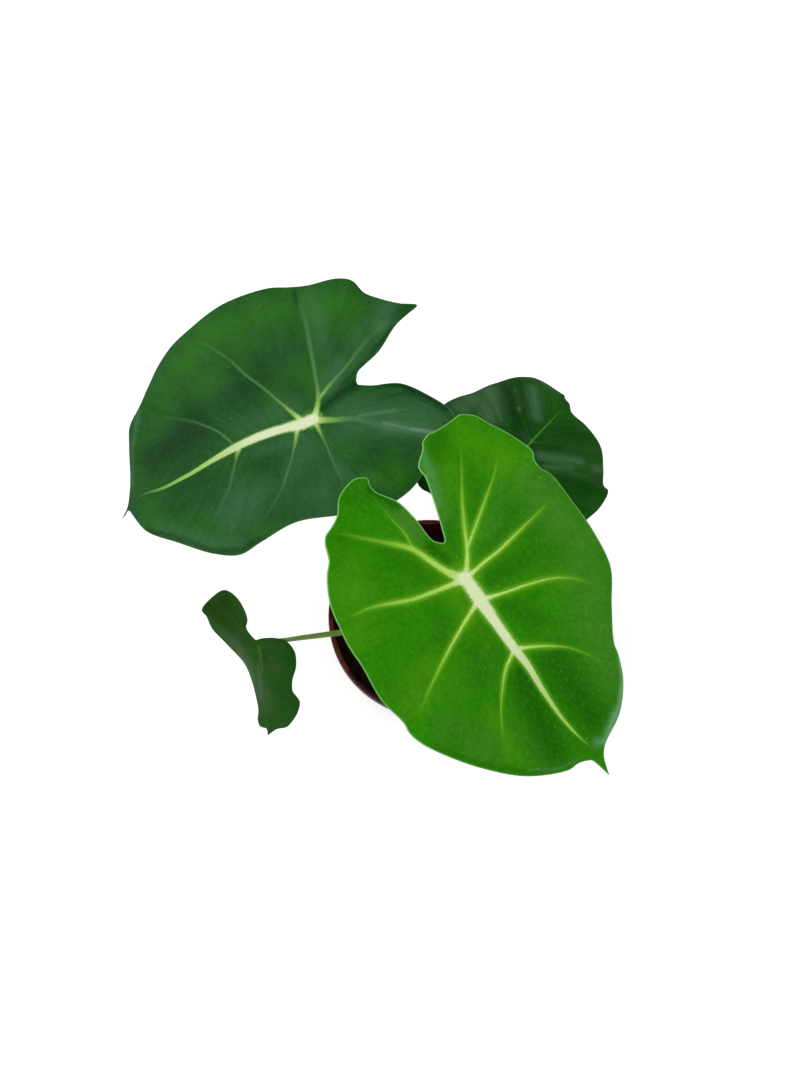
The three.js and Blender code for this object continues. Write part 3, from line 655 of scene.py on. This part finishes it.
def finishValues(blade, places, toMargin, veins):
    # where each point lies on the leaf and how its tones lie there, for the upper face and then the lower
    form = streakForm
    forward, left = places.T
    aside = np.abs(left)
    step = (forward + form["lean"] * aside) / (1 + form["spread"] * aside)
    behind = np.arctan2(aside, forward) - math.atan2(1, -form["lean"])
    step = np.where(behind > 0, -form["backTurn"] * behind, step)
    tones = {tone: strokeField(places, strokes) for tone, strokes in blade["strokes"].items()}
    zero = np.zeros_like(forward)
    values = {
        "sheet": (forward, left, zero),
        # the third edge value is the painted highlight
        "edge": (toMargin, zero, tones["paintedHighlight"]),
        "streaks": (form["across"] * step, form["along"] * np.hypot(forward, left),
                    form["halves"] * (left > 0)),
        # the third tone is the painted sheen
        "tones": (tones["deep"], tones["bright"], tones["paintedSheen"]),
        "fade": (veins["midAlong"], veins["sideShow"], veins["sideTurn"]),
        "trim": (tones["rim"], veins["midGap"], veins["sideGap"]),
    }
    for k in range(0, len(veins["fields"]), 3):
        values[f"veins{k // 3}"] = veins["fields"][k:k + 3]
    lower = {key: np.stack(rows, 1) for key, rows in values.items()}
    upper = {**lower, "edge": lower["edge"] + (0, 1, 0), "sheet": lower["sheet"] + (0, 0, form["topSheet"])}
    lower["streaks"] = lower["streaks"] + (0, 0, form["underside"])
    return {key: np.concatenate([upper[key], lower[key]]) for key in upper}


def makeBlade(name, blade):
    margin = bladeMargin(blade, bladeForm["marginPoints"])
    bm = flatNet(margin, blade["cell"])
    places = np.array([vert.co[:2] for vert in bm.verts])
    toMargin = lineField(places, np.concatenate([margin[:, :2], margin[:1, :2]]))[0]
    veins = veinFields(blade, places)
    skin = np.concatenate(bladeFaces(blade, bm, places, margin, toMargin, veins)) @ bladeAxes(blade)
    doubleSheet(bm)
    obj = meshObject(f"leaf_{name}", bm)
    setPoints(obj, skin + np.array(blade["joint"]), finishValues(blade, places, toMargin, veins))
    return obj


def setPoints(obj, points, extras):
    # every point goes to its own place in the list that its pick names, and carries that place's values
    mesh = obj.data
    pick = np.empty(len(mesh.vertices), np.int32)
    mesh.attributes["pick"].data.foreach_get("value", pick)
    mesh.attributes.remove(mesh.attributes["pick"])
    mesh.vertices.foreach_set("co", (points[pick] * mm).astype(np.float32).ravel())
    for key, values in extras.items():
        layer = mesh.attributes.new(key, "FLOAT_VECTOR", "POINT")
        layer.data.foreach_set("vector", values[pick].astype(np.float32).ravel())
    mesh.shade_smooth()
    mesh.update()


def closedSkin(name, points, extras):
    # an even net is rolled up: its first and last columns meet, and each end draws in to one point
    sides, rows = points.shape[:2]
    bm = bmesh.new()
    bmesh.ops.create_grid(bm, x_segments=sides, y_segments=rows - 1, size=1)
    pick = bm.verts.layers.int.new("pick")
    for index, vert in enumerate(bm.verts):
        row, column = divmod(index, sides + 1)
        vert[pick] = (column % sides) * rows + row
        vert.co = points[column % sides, row] * mm
    bmesh.ops.remove_doubles(bm, verts=bm.verts, dist=1e-7)
    bmesh.ops.recalc_face_normals(bm, faces=bm.faces)
    obj = meshObject(name, bm)
    setPoints(obj, points.reshape(-1, 3), {key: values.reshape(-1, 3) for key, values in extras.items()})
    return obj


def meshObject(name, bm):
    mesh = bpy.data.meshes.new(name)
    bm.to_mesh(mesh)
    bm.free()
    obj = bpy.data.objects.new(name, mesh)
    scene.collection.objects.link(obj)
    return obj


# Leaf finishes: velvety green with pale veins, each leaf of its own age. Each row has one value for each
# leaf, in the order of the blades: front, left, back and small.
leafPaints = {
    # deep: darker green, partly painted shade where the deep strokes lay it
    "deep": [(30, 96, 6), (20, 58, 26), (24, 62, 22), (39, 69, 25)],
    "main": [(48, 132, 0), (37, 88, 37), (34, 80, 29), (46, 85, 38)],
    "bright": [(84, 152, 24), (46, 112, 24), (40, 96, 26), (36, 90, 32)],
    # the grey of painted sheen
    "paintedSheen": [(70, 128, 44), (66, 112, 74), (84, 124, 88), (64, 90, 54)],
    # the colour of painted highlights
    "paintedHighlight": [(134, 190, 140), (150, 180, 156), (120, 150, 120), (130, 160, 130)],
    "vein": [(178, 220, 102), (166, 206, 100), (38, 88, 36), (50, 94, 42)],
    "veinEnd": [(128, 190, 50), (88, 136, 84), (30, 78, 30), (44, 86, 36)],
    "midrib": [(220, 233, 182), (226, 236, 194), (72, 142, 40), (62, 102, 46)],
    "midEnd": [(160, 205, 96), (154, 199, 96), (64, 124, 44), (54, 92, 42)],
    "halo": [(98, 164, 34), (96, 160, 48), (40, 100, 28), (48, 90, 34)],
    # rim: the pale margin line, partly painted highlight
    "rim": [(138, 198, 114), (96, 140, 96), (56, 100, 56), (56, 100, 46)],
    "under": [(104, 142, 72), (92, 128, 78), (84, 120, 74), (88, 122, 72)],
    "underVein": [(160, 186, 112), (150, 174, 112), (140, 166, 104), (130, 156, 100)],
    "speck": [(150, 196, 120), (130, 170, 130), (60, 110, 60), (70, 110, 60)],
}
leafValues = {
    "haloSide": [1.8, 1.1, 1.0, 0.8],
    "haloMid": [3.0, 1.7, 1.2, 1.0],
    "haloFade": [(1.5, 0.4), (0.3, 0.02), (1.0, 0.3), (1.0, 0.3)],
    "glow": [0.4, 0.1, 0.05, 0.05],
    "rimWidth": [0.7, 0.5, 0.4, 0.35],
    "midTurn": [(0.22, 0.76), (0.29, 0.66), (0.3, 0.8), (0.1, 0.6)],
    "midFade": [(0.9, 0.72), (0.93, 0.64), (0.86, 0.6), (0.75, 0.2)],
    "veinTurn": [(0.05, 0.9), (0.0, 0.36), (0.25, 1.0), (0.25, 1.0)],
    "jointHalo": [10.0, 6.5, 3.0, 1.8],
    "jointCore": [4.4, 4.2, 1.6, 1.0],
    "cloud": [0.1, 0.3, 0.3, 0.2],
    "roughness": [0.55, 0.5, 0.4, 0.5],
    "specular": [0.03, 0.09, 0.02, 0.02],
    "sheen": [0.0, 0.01, 0.0, 0.0],
}

# noise sizes over the flat leaf, as turns for each millimetre; wobble is how far the grain shifts an edge
leafTexture = {
    "clouds": 0.05, "patches": 0.16, "cells": 0.3, "mottle": 0.5, "grain": 1.5, "specks": 0.22, "wobble": 2.2,
}


def makeLeafMaterial(name, blade):
    leaf = list(blades).index(name)
    finish = {key: tint(*values[leaf]) for key, values in leafPaints.items()}
    finish.update({key: values[leaf] for key, values in leafValues.items()})
    material, tree = newMaterial(f"leafFinish_{name}")
    sheet, streakPlace = readVector(tree, "sheet"), readVector(tree, "streaks")
    toMargin, upper, paintedHighlight = readVector(tree, "edge").split()
    deep, bright, paintedSheen = readVector(tree, "tones").split()
    midAlong, sideShow, sideTurn = readVector(tree, "fade").split()
    trim, midGap, sideGap = readVector(tree, "trim").split()
    forward, left = sheet.split()[:2]
    reach = (forward * forward + left * left) ** 0.5
    lines = []
    for k in range((len(blade["veins"]) + 3) // 3):
        lines += [line.math("ABSOLUTE") for line in readVector(tree, f"veins{k}").split()]
    midrib, vein, *others = lines
    for other in others:
        vein = vein.math("MINIMUM", other)
    clouds = addNoise(tree, sheet, leafTexture["clouds"])
    patches = addNoise(tree, sheet, leafTexture["patches"], 3.0, 0.55)
    mottle = addNoise(tree, sheet, leafTexture["mottle"], 3.0, 0.65)
    grain = addNoise(tree, sheet, leafTexture["grain"], 3.0, 0.6)
    streaks = addNoise(tree, streakPlace, 1.0, 4.0, 0.6)
    cells = addNode(tree, "ShaderNodeTexVoronoi", {"feature": "DISTANCE_TO_EDGE"}, Vector=sheet,
                    Scale=leafTexture["cells"])
    speckSize = addNode(tree, "ShaderNodeTexVoronoi", Vector=sheet, Scale=leafTexture["specks"])
    speckDraw = Wire(tree, speckSize.socket.node.outputs["Color"]).split()[0]
    specks = speckSize.step(0.1, 0.04) * speckDraw.step(0.72, 0.74)
    wobble = (grain - 0.5) * leafTexture["wobble"]
    cellEdge = cells.step(0.06, 0.0)

    # the upper face: green first, partly darkened as painted shade, with painted sheen and painted highlights
    # laid on it, then the specks, the halo of the veins, the veins and the margin's pale line, partly painted
    # highlight
    color = layColors(tree, finish["main"], [
        (patches.step(0.5, 0.3) * 0.3, finish["deep"]),
        (clouds.step(0.5, 0.66) * finish["cloud"], finish["bright"]),
        (bright * (patches * 0.7 + 0.65), finish["bright"]),
        # painted sheen in the grey strokes
        (paintedSheen * (streaks * 0.7 + patches * 0.5 + 0.4), finish["paintedSheen"]),
        # deep strokes: darker green, partly painted shade
        (deep * (patches * 0.5 + 0.75), finish["deep"]),
        # streaks of painted sheen
        (streaks.step(0.5, 0.72) * 0.19, finish["paintedSheen"]),
        (streaks.step(0.5, 0.3) * 0.21, finish["deep"]),
        (mottle.step(0.5, 0.7) * 0.24, finish["bright"]),
        (mottle.step(0.5, 0.3) * 0.3, finish["deep"]),
        (cellEdge * 0.08, finish["bright"]),
        (sideGap.step(5.0, 0.0) * (1.0 - sideTurn) * finish["glow"], finish["bright"]),
        # painted highlights
        (paintedHighlight * (streaks * 0.8 + 0.6), finish["paintedHighlight"]),
        (specks * 0.45, finish["speck"]),
    ])
    midShow = midAlong.step(*finish["midFade"])
    haloSide = (sideGap + wobble * 0.3).step(finish["haloSide"], 0.0)
    haloSide = haloSide * sideShow * sideTurn.step(*finish["haloFade"])
    haloMid = (midGap + wobble * 0.3 + midAlong * 1.6).step(finish["haloMid"], 0.0) * midShow
    haloJoint = (reach + wobble).step(finish["jointHalo"], finish["jointCore"] * 0.5) * 0.75
    jointCore = (reach + wobble * 0.6).step(finish["jointCore"], 1.0)
    veinCore = ((vein + wobble).step(1.25, 0.55) * sideShow).most(jointCore)
    midCore = (midrib + wobble * 0.55).step(1.2, 0.65) * midShow
    # the pale margin line, partly painted highlight where the rim strokes strengthen it
    rim = (toMargin + wobble * 0.1).step(finish["rimWidth"], finish["rimWidth"] * 0.45) * (trim * 0.6 + 0.3)
    veinColor = layColors(tree, finish["vein"], [
        (sideTurn.step(*finish["veinTurn"]), finish["veinEnd"]),
        (sideTurn.step(0.12, 0.0) * 0.6, finish["midrib"]),
    ])
    midColor = mixColor(tree, midAlong.step(*finish["midTurn"]), finish["midrib"], finish["midEnd"])
    color = layColors(tree, color, [
        (haloSide.most(haloMid).most(haloJoint), finish["halo"]),
        (veinCore, veinColor), (midCore, midColor), (rim, finish["rim"]),
    ])

    under = layColors(tree, finish["under"], [
        # patches of painted sheen on the underside
        (patches.step(0.3, 0.7) * 0.35, finish["paintedSheen"]),
        (cellEdge * 0.35, finish["underVein"]),
        ((vein + wobble).step(2.2, 0.9).most((midrib + wobble * 0.4).step(1.5, 1.0)), finish["underVein"]),
    ])
    roughness = finish["roughness"] + (patches - 0.5) * 0.14 + (streaks - 0.5) * 0.1
    relief = grain * 0.25 + streaks * 0.6 + cells.step(0.0, 0.12) * 0.3
    finishShader(tree, mixColor(tree, upper.step(0.4, 0.6), under, color), roughness,
                 Normal=addBump(tree, relief, 0.25, 0.0003), Specular_IOR_Level=finish["specular"],
                 Sheen_Weight=finish["sheen"], Sheen_Roughness=0.4)
    return material


# Petioles: half widths at the foot and below the blade, the upright start, the straight end, and the places
# that the stalk passes through between them
petioles = {
    "front": {"foot": 4.2, "neck": 2.4, "upright": 8, "straight": 26,
              "through": [(4.5, -16, 150), (7, -26, 215)]},
    "left": {"foot": 4.2, "neck": 2.3, "upright": 8, "straight": 24,
             "through": [(-22, 20, 145), (-45, 43.5, 192)]},
    "back": {"foot": 3.8, "neck": 2.0, "upright": 6, "straight": 20,
             "through": [(13, 15, 135), (22.5, 26, 175)]},
    "small": {"foot": 2.4, "neck": 1.0, "upright": 2, "straight": 13, "taper": 1.0,
              "through": [(-24, -7, 105), (-49.5, -13.5, 115.5), (-83, -20, 122.5)]},
}
petioleForm = {
    "sides": 32, "rows": 180, "taper": 1.6, "seatRing": 7.5, "seatHeight": 97.3, "below": 2.3,
    "grooveDepth": 0.16, "sheathWing": 0.28, "neckSwell": 0.18,      # shares of the half width
    "sheathLength": 30.0, "wingTurn": 2.1, "wingWidth": 0.35, "neckLength": 7.0,
}


def petioleRoute(petiole, blade):
    axes = bladeAxes(blade)
    joint = np.array(blade["joint"], float)
    lean = math.atan2(joint[1], joint[0])
    seat = np.array([petioleForm["seatRing"] * math.cos(lean), petioleForm["seatRing"] * math.sin(lean),
                     petioleForm["seatHeight"]])
    below = petioleForm["below"]
    return [seat, seat + (0, 0, petiole["upright"]), *petiole["through"],
            joint - axes[2] * (below + petiole["straight"]), joint - axes[2] * below]


def makePetiole(name, petiole, blade):
    rows, sides = petioleForm["rows"], petioleForm["sides"]
    line = evenLine(smoothLine(petioleRoute(petiole, blade), 24), rows - 1)
    tangent = np.gradient(line, axis=0)
    tangent /= np.linalg.norm(tangent, axis=1, keepdims=True)
    tangent[0], tangent[-1] = (0, 0, 1), bladeAxes(blade)[2]
    inward = -line[-1] * (1, 1, 0)
    across = inward - tangent * (tangent @ inward)[:, None]
    across /= np.linalg.norm(across, axis=1, keepdims=True)
    aside = np.cross(tangent, across)
    t = np.linspace(0, 1, rows - 1)
    length = np.linalg.norm(np.diff(line, axis=0), axis=1).sum()
    taper = petiole.get("taper", petioleForm["taper"])
    radius = petiole["neck"] + (petiole["foot"] - petiole["neck"]) * (1 - t) ** taper
    fromNeck = (1 - t) * length / petioleForm["neckLength"]
    radius *= 1 + petioleForm["neckSwell"] * np.exp(-fromNeck ** 2)
    sheath = np.clip(1 - t * length / petioleForm["sheathLength"], 0, 1) ** 1.5
    angle = np.arange(sides)[:, None] / sides * math.tau
    facing = np.cos(angle)          # 1 on the side that looks inwards, to the crown's axis
    groove = petioleForm["grooveDepth"] * np.clip(facing, 0, 1) ** 6 * (1 - sheath)
    wing = petioleForm["sheathWing"] * sheath * bell(np.abs(angle - math.pi) - petioleForm["wingTurn"],
                                                     petioleForm["wingWidth"])
    wide = radius[None] * (1 - groove + wing)
    ring = line[None] + wide[..., None] * (facing[..., None] * across[None]
                                           + np.sin(angle)[..., None] * aside[None])
    foot = np.repeat(line[None, :1], sides, axis=0)
    head = np.repeat(line[None, -1:], sides, axis=0)
    skin = np.concatenate([foot, ring, head], axis=1)
    along = np.repeat(np.concatenate([[0], t, [1]])[None] * length, sides, axis=0)
    turn = np.repeat(angle / math.tau, rows + 1, axis=1)
    return closedSkin(f"stalk_{name}", skin, {"stalk": np.stack([along, length - along, turn], 2)})


stemFinish = {
    "stout": {
        "foot": tint(150, 158, 104), "main": tint(74, 116, 34), "neck": tint(96, 142, 44),
        "dark": tint(40, 74, 22), "tinge": tint(104, 84, 52), "footLength": 34.0, "neckLength": 22.0,
    },
    "slender": {
        "foot": tint(120, 146, 70), "main": tint(118, 158, 60), "neck": tint(126, 168, 64),
        "dark": tint(90, 128, 44), "tinge": tint(112, 96, 56), "footLength": 20.0, "neckLength": 40.0,
    },
}


def makeStemMaterial(name):
    finish = stemFinish[name]
    material, tree = newMaterial(f"stalkFinish_{name}")
    along, toBlade, turn = readVector(tree, "stalk").split()
    place = objectPlace(tree)
    angle = turn * math.tau
    ring = addNode(tree, "ShaderNodeCombineXYZ", X=angle.math("SINE") * 4.0, Y=angle.math("COSINE") * 4.0,
                   Z=along * 0.02)
    streaks = addNoise(tree, ring, 2.2, 4.0, 0.6)
    flecks = addNoise(tree, place, 420.0)
    clouds = addNoise(tree, place, 60.0)
    color = layColors(tree, finish["dark"], [
        (streaks.step(0.4, 0.62), finish["main"]),
        (toBlade.step(finish["neckLength"], 0.0) * 0.8, finish["neck"]),
        (along.step(finish["footLength"], 0.0) * 0.85, finish["foot"]),
        (flecks.step(0.6, 0.68) * clouds.step(0.45, 0.6) * 0.35, finish["tinge"]),
    ])
    finishShader(tree, color, (streaks - 0.5) * 0.2 + 0.42,
                 Normal=addBump(tree, streaks + flecks * 0.3, 0.25, 0.0004), Specular_IOR_Level=0.35)
    return material


# Crown: a short stem wrapped in the dry bases of older stalks
crown = {
    "radius": 12.5, "foot": 74.0, "top": 97.0, "sides": 96, "rows": 60,
    "footDraw": 0.22, "topDraw": 0.14, "topShare": 0.1,
    "wraps": 5, "slant": 1.5, "ridge": 0.55, "lump": 0.5, "lumpAround": 1.6, "lumpUp": 0.2,
    "green": srgb(88, 104, 52), "husk": srgb(122, 104, 66), "fibre": srgb(62, 44, 26),
}


def makeCrown():
    sides, rows = crown["sides"], crown["rows"]
    turn = np.arange(sides)[:, None] / sides * math.tau
    t = np.linspace(0, 1, rows)[None]
    height = crown["foot"] + (crown["top"] - crown["foot"]) * t
    edge = np.clip((t - (1 - crown["topShare"])) / crown["topShare"], 0, 1)
    radius = crown["radius"] * (1 - crown["footDraw"] * np.clip(1 - t * 4, 0, 1) ** 2)
    radius = radius * (1 - crown["topDraw"] * edge ** 2)
    wrap = (turn * crown["slant"] / math.pi + t * crown["wraps"]) % 1.0
    around, up = crown["lumpAround"], crown["lumpUp"]
    lumps = [[noise.noise(Vector((math.cos(a) * around, math.sin(a) * around, h * up))) for h in height[0]]
             for a in turn[:, 0]]
    radius = radius - crown["ridge"] * (1 - wrap) * (1 - edge) - crown["lump"] * np.abs(lumps)
    ring = np.stack(np.broadcast_arrays(radius * np.cos(turn), radius * np.sin(turn), height), 2)
    low, high = [np.repeat([[[0, 0, crown[end]]]], sides, axis=0) for end in ("foot", "top")]
    return closedSkin("stem_crown", np.concatenate([low, ring, high], axis=1), {})


def makeCrownMaterial():
    material, tree = newMaterial("crownFinish")
    place = objectPlace(tree)
    tall = addNode(tree, "ShaderNodeMapping", Vector=place, Scale=(1.0, 1.0, 0.2))
    fibres = addNoise(tree, tall, 900.0, 4.0, 0.6)
    clouds = addNoise(tree, place, 120.0, 3.0)
    color = layColors(tree, crown["green"], [
        (clouds.step(0.4, 0.6), crown["husk"]), (fibres.step(0.42, 0.3), crown["fibre"])])
    finishShader(tree, color, fibres * 0.2 + 0.6, Normal=addBump(tree, fibres, 0.5, 0.0006),
                 Specular_IOR_Level=0.3)
    return material


# Pot: spun from its section, with a rolled band at the rim and drain holes cut through the base
pot = {
    "height": 105.0, "rimRadius": 60.0, "baseRadius": 43.0, "wall": 1.6, "floor": 2.0, "steps": 160,
    "footRing": 5.0, "footRise": 1.0, "footBevel": 0.8, "wallRings": (30.0, 60.0),
    "bandHeight": 8.0, "bandOverhang": 1.8, "rimWidth": 3.0, "bevel": 0.7,
    "drains": 6, "drainRadius": 4.0, "drainRing": 30.0, "drainDepth": 12.0, "sharp": 40.0,
}


def outerRadius(z):
    top = pot["rimRadius"] - pot["bandOverhang"]
    return pot["baseRadius"] + (top - pot["baseRadius"]) * z / (pot["height"] - pot["bandHeight"])


def innerRadius(z):
    return outerRadius(z) - pot["wall"]


def spunSection(section, steps):
    # radii and heights, spun round the pot's axis
    bm = bmesh.new()
    verts = [bm.verts.new((r * mm, 0, z * mm)) for r, z in section]
    edges = [bm.edges.new(pair) for pair in zip(verts, verts[1:])]
    bmesh.ops.spin(bm, geom=verts + edges, cent=(0, 0, 0), axis=(0, 0, 1), angle=math.tau, steps=steps,
                   use_merge=True)
    bmesh.ops.remove_doubles(bm, verts=bm.verts, dist=1e-6)
    bmesh.ops.recalc_face_normals(bm, faces=bm.faces)
    return bm


def makePot():
    base, rise, floor = pot["baseRadius"], pot["footRise"], pot["floor"]
    rim, top, bevel = pot["rimRadius"], pot["height"], pot["bevel"]
    inner, soft = rim - pot["rimWidth"], 0.3 * bevel
    low, high = pot["wallRings"]
    band = top - pot["bandHeight"]
    section = [
        (0, rise), (base - pot["footRing"] - rise, rise), (base - pot["footRing"], 0),
        (base - pot["footBevel"], 0), (base, pot["footBevel"]),
        (outerRadius(low), low), (outerRadius(high), high), (outerRadius(band - 4), band - 4),
        (outerRadius(band) + 0.2, band), (rim - 0.5, band + 0.2), (rim, band + 0.9),
        (rim, top - bevel), (rim - soft, top - soft), (rim - bevel, top),
        (inner + bevel, top), (inner + soft, top - soft), (inner, top - bevel),
        (innerRadius(band), band - 1), (innerRadius(high), high), (innerRadius(low), low),
        (innerRadius(floor), floor), (0, floor),
    ]
    shell = meshObject("potShell", spunSection(section, pot["steps"]))
    bm = bmesh.new()
    for k in range(pot["drains"]):
        angle = math.tau * k / pot["drains"]
        spot = Vector((math.cos(angle), math.sin(angle), 0)) * pot["drainRing"] * mm
        bmesh.ops.create_cone(bm, cap_ends=True, segments=32, radius1=pot["drainRadius"] * mm,
                              radius2=pot["drainRadius"] * mm, depth=pot["drainDepth"] * mm,
                              matrix=Matrix.Translation(spot))
    cutter = meshObject("drainCutter", bm)
    cut = shell.modifiers.new("drains", "BOOLEAN")
    cut.operation = "DIFFERENCE"
    cut.object = cutter
    cut.solver = "EXACT"
    obj = bakedCopy("nursery_pot", shell)
    bpy.data.objects.remove(shell)
    bpy.data.objects.remove(cutter)
    obj.data.shade_smooth()
    obj.data.set_sharp_from_angle(angle=math.radians(pot["sharp"]))
    return obj


def bakedCopy(name, obj):
    # the object's mesh with its modifiers applied, as a new object
    graph = bpy.context.evaluated_depsgraph_get()
    mesh = bpy.data.meshes.new_from_object(obj.evaluated_get(graph))
    mesh.name = name
    copy = bpy.data.objects.new(name, mesh)
    scene.collection.objects.link(copy)
    return copy


potFinish = {
    "main": tint(62, 22, 12), "deep": tint(42, 14, 8), "worn": tint(118, 64, 48), "dust": tint(92, 60, 44),
    "roughness": 0.45,
}


def makePotMaterial():
    finish = potFinish
    material, tree = newMaterial("potFinish")
    place = objectPlace(tree)
    height = place.split()[2] * (1 / mm)
    wide = addNode(tree, "ShaderNodeMapping", Vector=place, Scale=(1.0, 1.0, 14.0))
    clouds = addNoise(tree, place, 28.0, 4.0, 0.6)
    flecks = addNoise(tree, place, 420.0, 3.0, 0.6)
    swirl = addNoise(tree, wide, 40.0, 3.0, 0.6)
    scuffs = addNoise(tree, wide, 190.0, 2.0, 0.7)
    # the top of the rim is painted lighter in cloudy patches
    paleRimTop = height.step(pot["height"] - 1.2, pot["height"] - 0.2) * clouds.step(0.5, 0.62)
    dust = height.step(14.0, 0.0) * flecks.step(0.4, 0.7)
    color = layColors(tree, finish["deep"], [
        (clouds.step(0.35, 0.65), finish["main"]),
        (scuffs.step(0.64, 0.72) * clouds.step(0.45, 0.65) * 0.35, finish["worn"]),
        (paleRimTop * 0.4, finish["worn"]),
        (dust * 0.35, finish["dust"]),
    ])
    worn = (clouds - 0.5) * 0.25 + (flecks - 0.5) * 0.12 + scuffs.step(0.6, 0.72) * 0.15
    finishShader(tree, color, finish["roughness"] + worn,
                 Normal=addBump(tree, (flecks + swirl) * 0.5, 0.16, 0.0004), Specular_IOR_Level=0.12)
    return material


# Potting mix: a lumpy bed under loose bark and a few pale grains
mix = {
    "top": 92.0, "foot": 2.3, "hole": 12.8, "holeFoot": 73.7, "gap": 0.3, "rings": 44, "steps": 144,
    "seed": 7, "bedDrop": 2.0, "bedRaise": 1.0, "levelEdge": 4.0, "lump": 2.2, "lumpSize": 0.16,
    "bitsInner": 15.5, "bitsOuter": 52.5, "lean": 0.6,
    "bark": {"detail": 1, "doublings": 10, "size": (1.0, 3.4), "slim": (0.4, 0.8), "flat": (0.2, 0.55),
             "rough": 0.5, "sunk": 0.2},
    "grains": {"detail": 2, "doublings": 6, "size": (0.6, 1.5), "slim": (0.7, 1.0), "flat": (0.6, 0.9),
               "rough": 0.4, "sunk": 0.0},
}


def bedRise(spot):
    return mix["lump"] * noise.fractal(Vector((spot.x, spot.y, 90)) * mix["lumpSize"], 1.0, 2.0, 5)


def makeMixBed():
    bed = mix["top"] - mix["bedDrop"]
    outer = innerRadius(mix["top"]) - mix["gap"]
    section = [(0, mix["foot"]), (innerRadius(mix["foot"]) - mix["gap"], mix["foot"]), (outer, bed)]
    for k in range(mix["rings"] + 1):
        section.append((outer + (mix["hole"] - outer) * k / mix["rings"], bed))
    section += [(mix["hole"], mix["holeFoot"]), (0, mix["holeFoot"])]
    bm = spunSection(section, mix["steps"])
    for vert in bm.verts:
        if vert.co.z > (bed - 1) * mm:
            spot = vert.co * (1 / mm)
            edge = min(1.0, max(0.0, (math.hypot(spot.x, spot.y) - mix["hole"]) / mix["levelEdge"]))
            vert.co.z += (mix["bedRaise"] + bedRise(spot) * edge) * mm
    return meshObject("mix_bed", bm)


def looseBits(name, bits, draw):
    # rough bits lie in the top of the bed at random turns; every doubling of the first makes twice as many
    bm = bmesh.new()
    bmesh.ops.create_icosphere(bm, subdivisions=bits["detail"], radius=1.0)
    each = len(bm.verts)
    for _ in range(bits["doublings"]):
        bmesh.ops.duplicate(bm, geom=bm.verts[:] + bm.edges[:] + bm.faces[:])
    verts = bm.verts[:]
    for k in range(0, len(verts), each):
        reach = math.sqrt(draw.uniform(mix["bitsInner"] ** 2, mix["bitsOuter"] ** 2))
        angle = draw.uniform(0, math.tau)
        size = draw.uniform(*bits["size"])
        turn = Matrix.Rotation(draw.uniform(0, math.tau), 4, "Z")
        turn = turn @ Matrix.Rotation(draw.uniform(-mix["lean"], mix["lean"]), 4, "X")
        slim, flat = draw.uniform(*bits["slim"]), draw.uniform(*bits["flat"])
        spot = Vector((reach * math.cos(angle), reach * math.sin(angle), mix["top"] - 1))
        spot.z += bedRise(spot) - bits["sunk"]
        place = Matrix.Translation(spot) @ turn @ Matrix.Diagonal((size, size * slim, size * flat, 1))
        seed = Vector((draw.uniform(0, 90), draw.uniform(0, 90), 0))
        for vert in verts[k:k + each]:
            vert.co = place @ (vert.co * (1 + bits["rough"] * noise.noise(vert.co * 1.3 + seed))) * mm
    return meshObject(name, bm)


def makeMix():
    draw = random.Random(mix["seed"])
    bed = makeMixBed()
    bark, grains = [looseBits(f"mix_{name}", mix[name], draw) for name in ("bark", "grains")]
    for obj in (bed, grains):
        obj.data.shade_smooth()
    return bed, bark, grains


mixFinish = {
    # the bed and bark: the mix's own dark brown, darkened further as painted shade
    "bed": {"low": srgb(8, 4, 3), "high": srgb(27, 15, 9), "roughness": 0.85, "crumb": 420.0},
    "bark": {"low": srgb(12, 7, 5), "high": srgb(48, 30, 19), "roughness": 0.8, "crumb": 700.0},
    "grains": {"low": srgb(140, 128, 108), "high": srgb(196, 188, 172), "roughness": 0.8, "crumb": 900.0},
}


def makeMixMaterial(name, finish):
    material, tree = newMaterial(f"mixFinish_{name}")
    place = objectPlace(tree)
    crumbs = addNoise(tree, place, finish["crumb"], 6.0, 0.7)
    clouds = addNoise(tree, place, 160.0, 3.0)
    color = mixColor(tree, crumbs.step(0.36, 0.66) * (clouds + 0.5), finish["low"], finish["high"])
    finishShader(tree, color, (crumbs - 0.5) * 0.3 + finish["roughness"],
                 Normal=addBump(tree, crumbs, 0.7, 0.001), Specular_IOR_Level=0.12)
    return material


def makeFloor():
    bm = bmesh.new()
    bmesh.ops.create_grid(bm, x_segments=1, y_segments=1, size=studio["floorSize"] / 2)
    floor = meshObject("studioFloor", bm)
    material, tree = newMaterial("floorFinish")
    finishShader(tree, studio["floorColor"], 0.9, Specular_IOR_Level=0.0, Emission_Color=(1.0, 1.0, 1.0, 1.0),
                 Emission_Strength=studio["floorGlow"])
    floor.data.materials.append(material)


def finishPiece(obj, material, node):
    obj.data.materials.append(material)
    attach(obj, "root")
    if node:
        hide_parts(node)


makeCamera()
makeLamps()
makeFloor()
print("camera, lights and floor made")

finishPiece(makePot(), makePotMaterial(), "pot")
for obj, (kind, finish) in zip(makeMix(), mixFinish.items()):
    finishPiece(obj, makeMixMaterial(kind, finish), "potting_mix" if kind == "bed" else None)
print("pot and potting mix made")

finishPiece(makeCrown(), makeCrownMaterial(), "crown")
stemMaterials = {name: makeStemMaterial(name) for name in stemFinish}
for name, petiole in petioles.items():
    stemMaterial = stemMaterials["slender" if name == "small" else "stout"]
    finishPiece(makePetiole(name, petiole, blades[name]), stemMaterial, f"petiole_{name}")
print("crown and stalks made")

for name, blade in blades.items():
    leafMaterial = makeLeafMaterial(name, blade)
    finishPiece(makeBlade(name, blade), leafMaterial, f"blade_{name}")
    print(f"leaf {name} made")

bpy.context.view_layer.update()
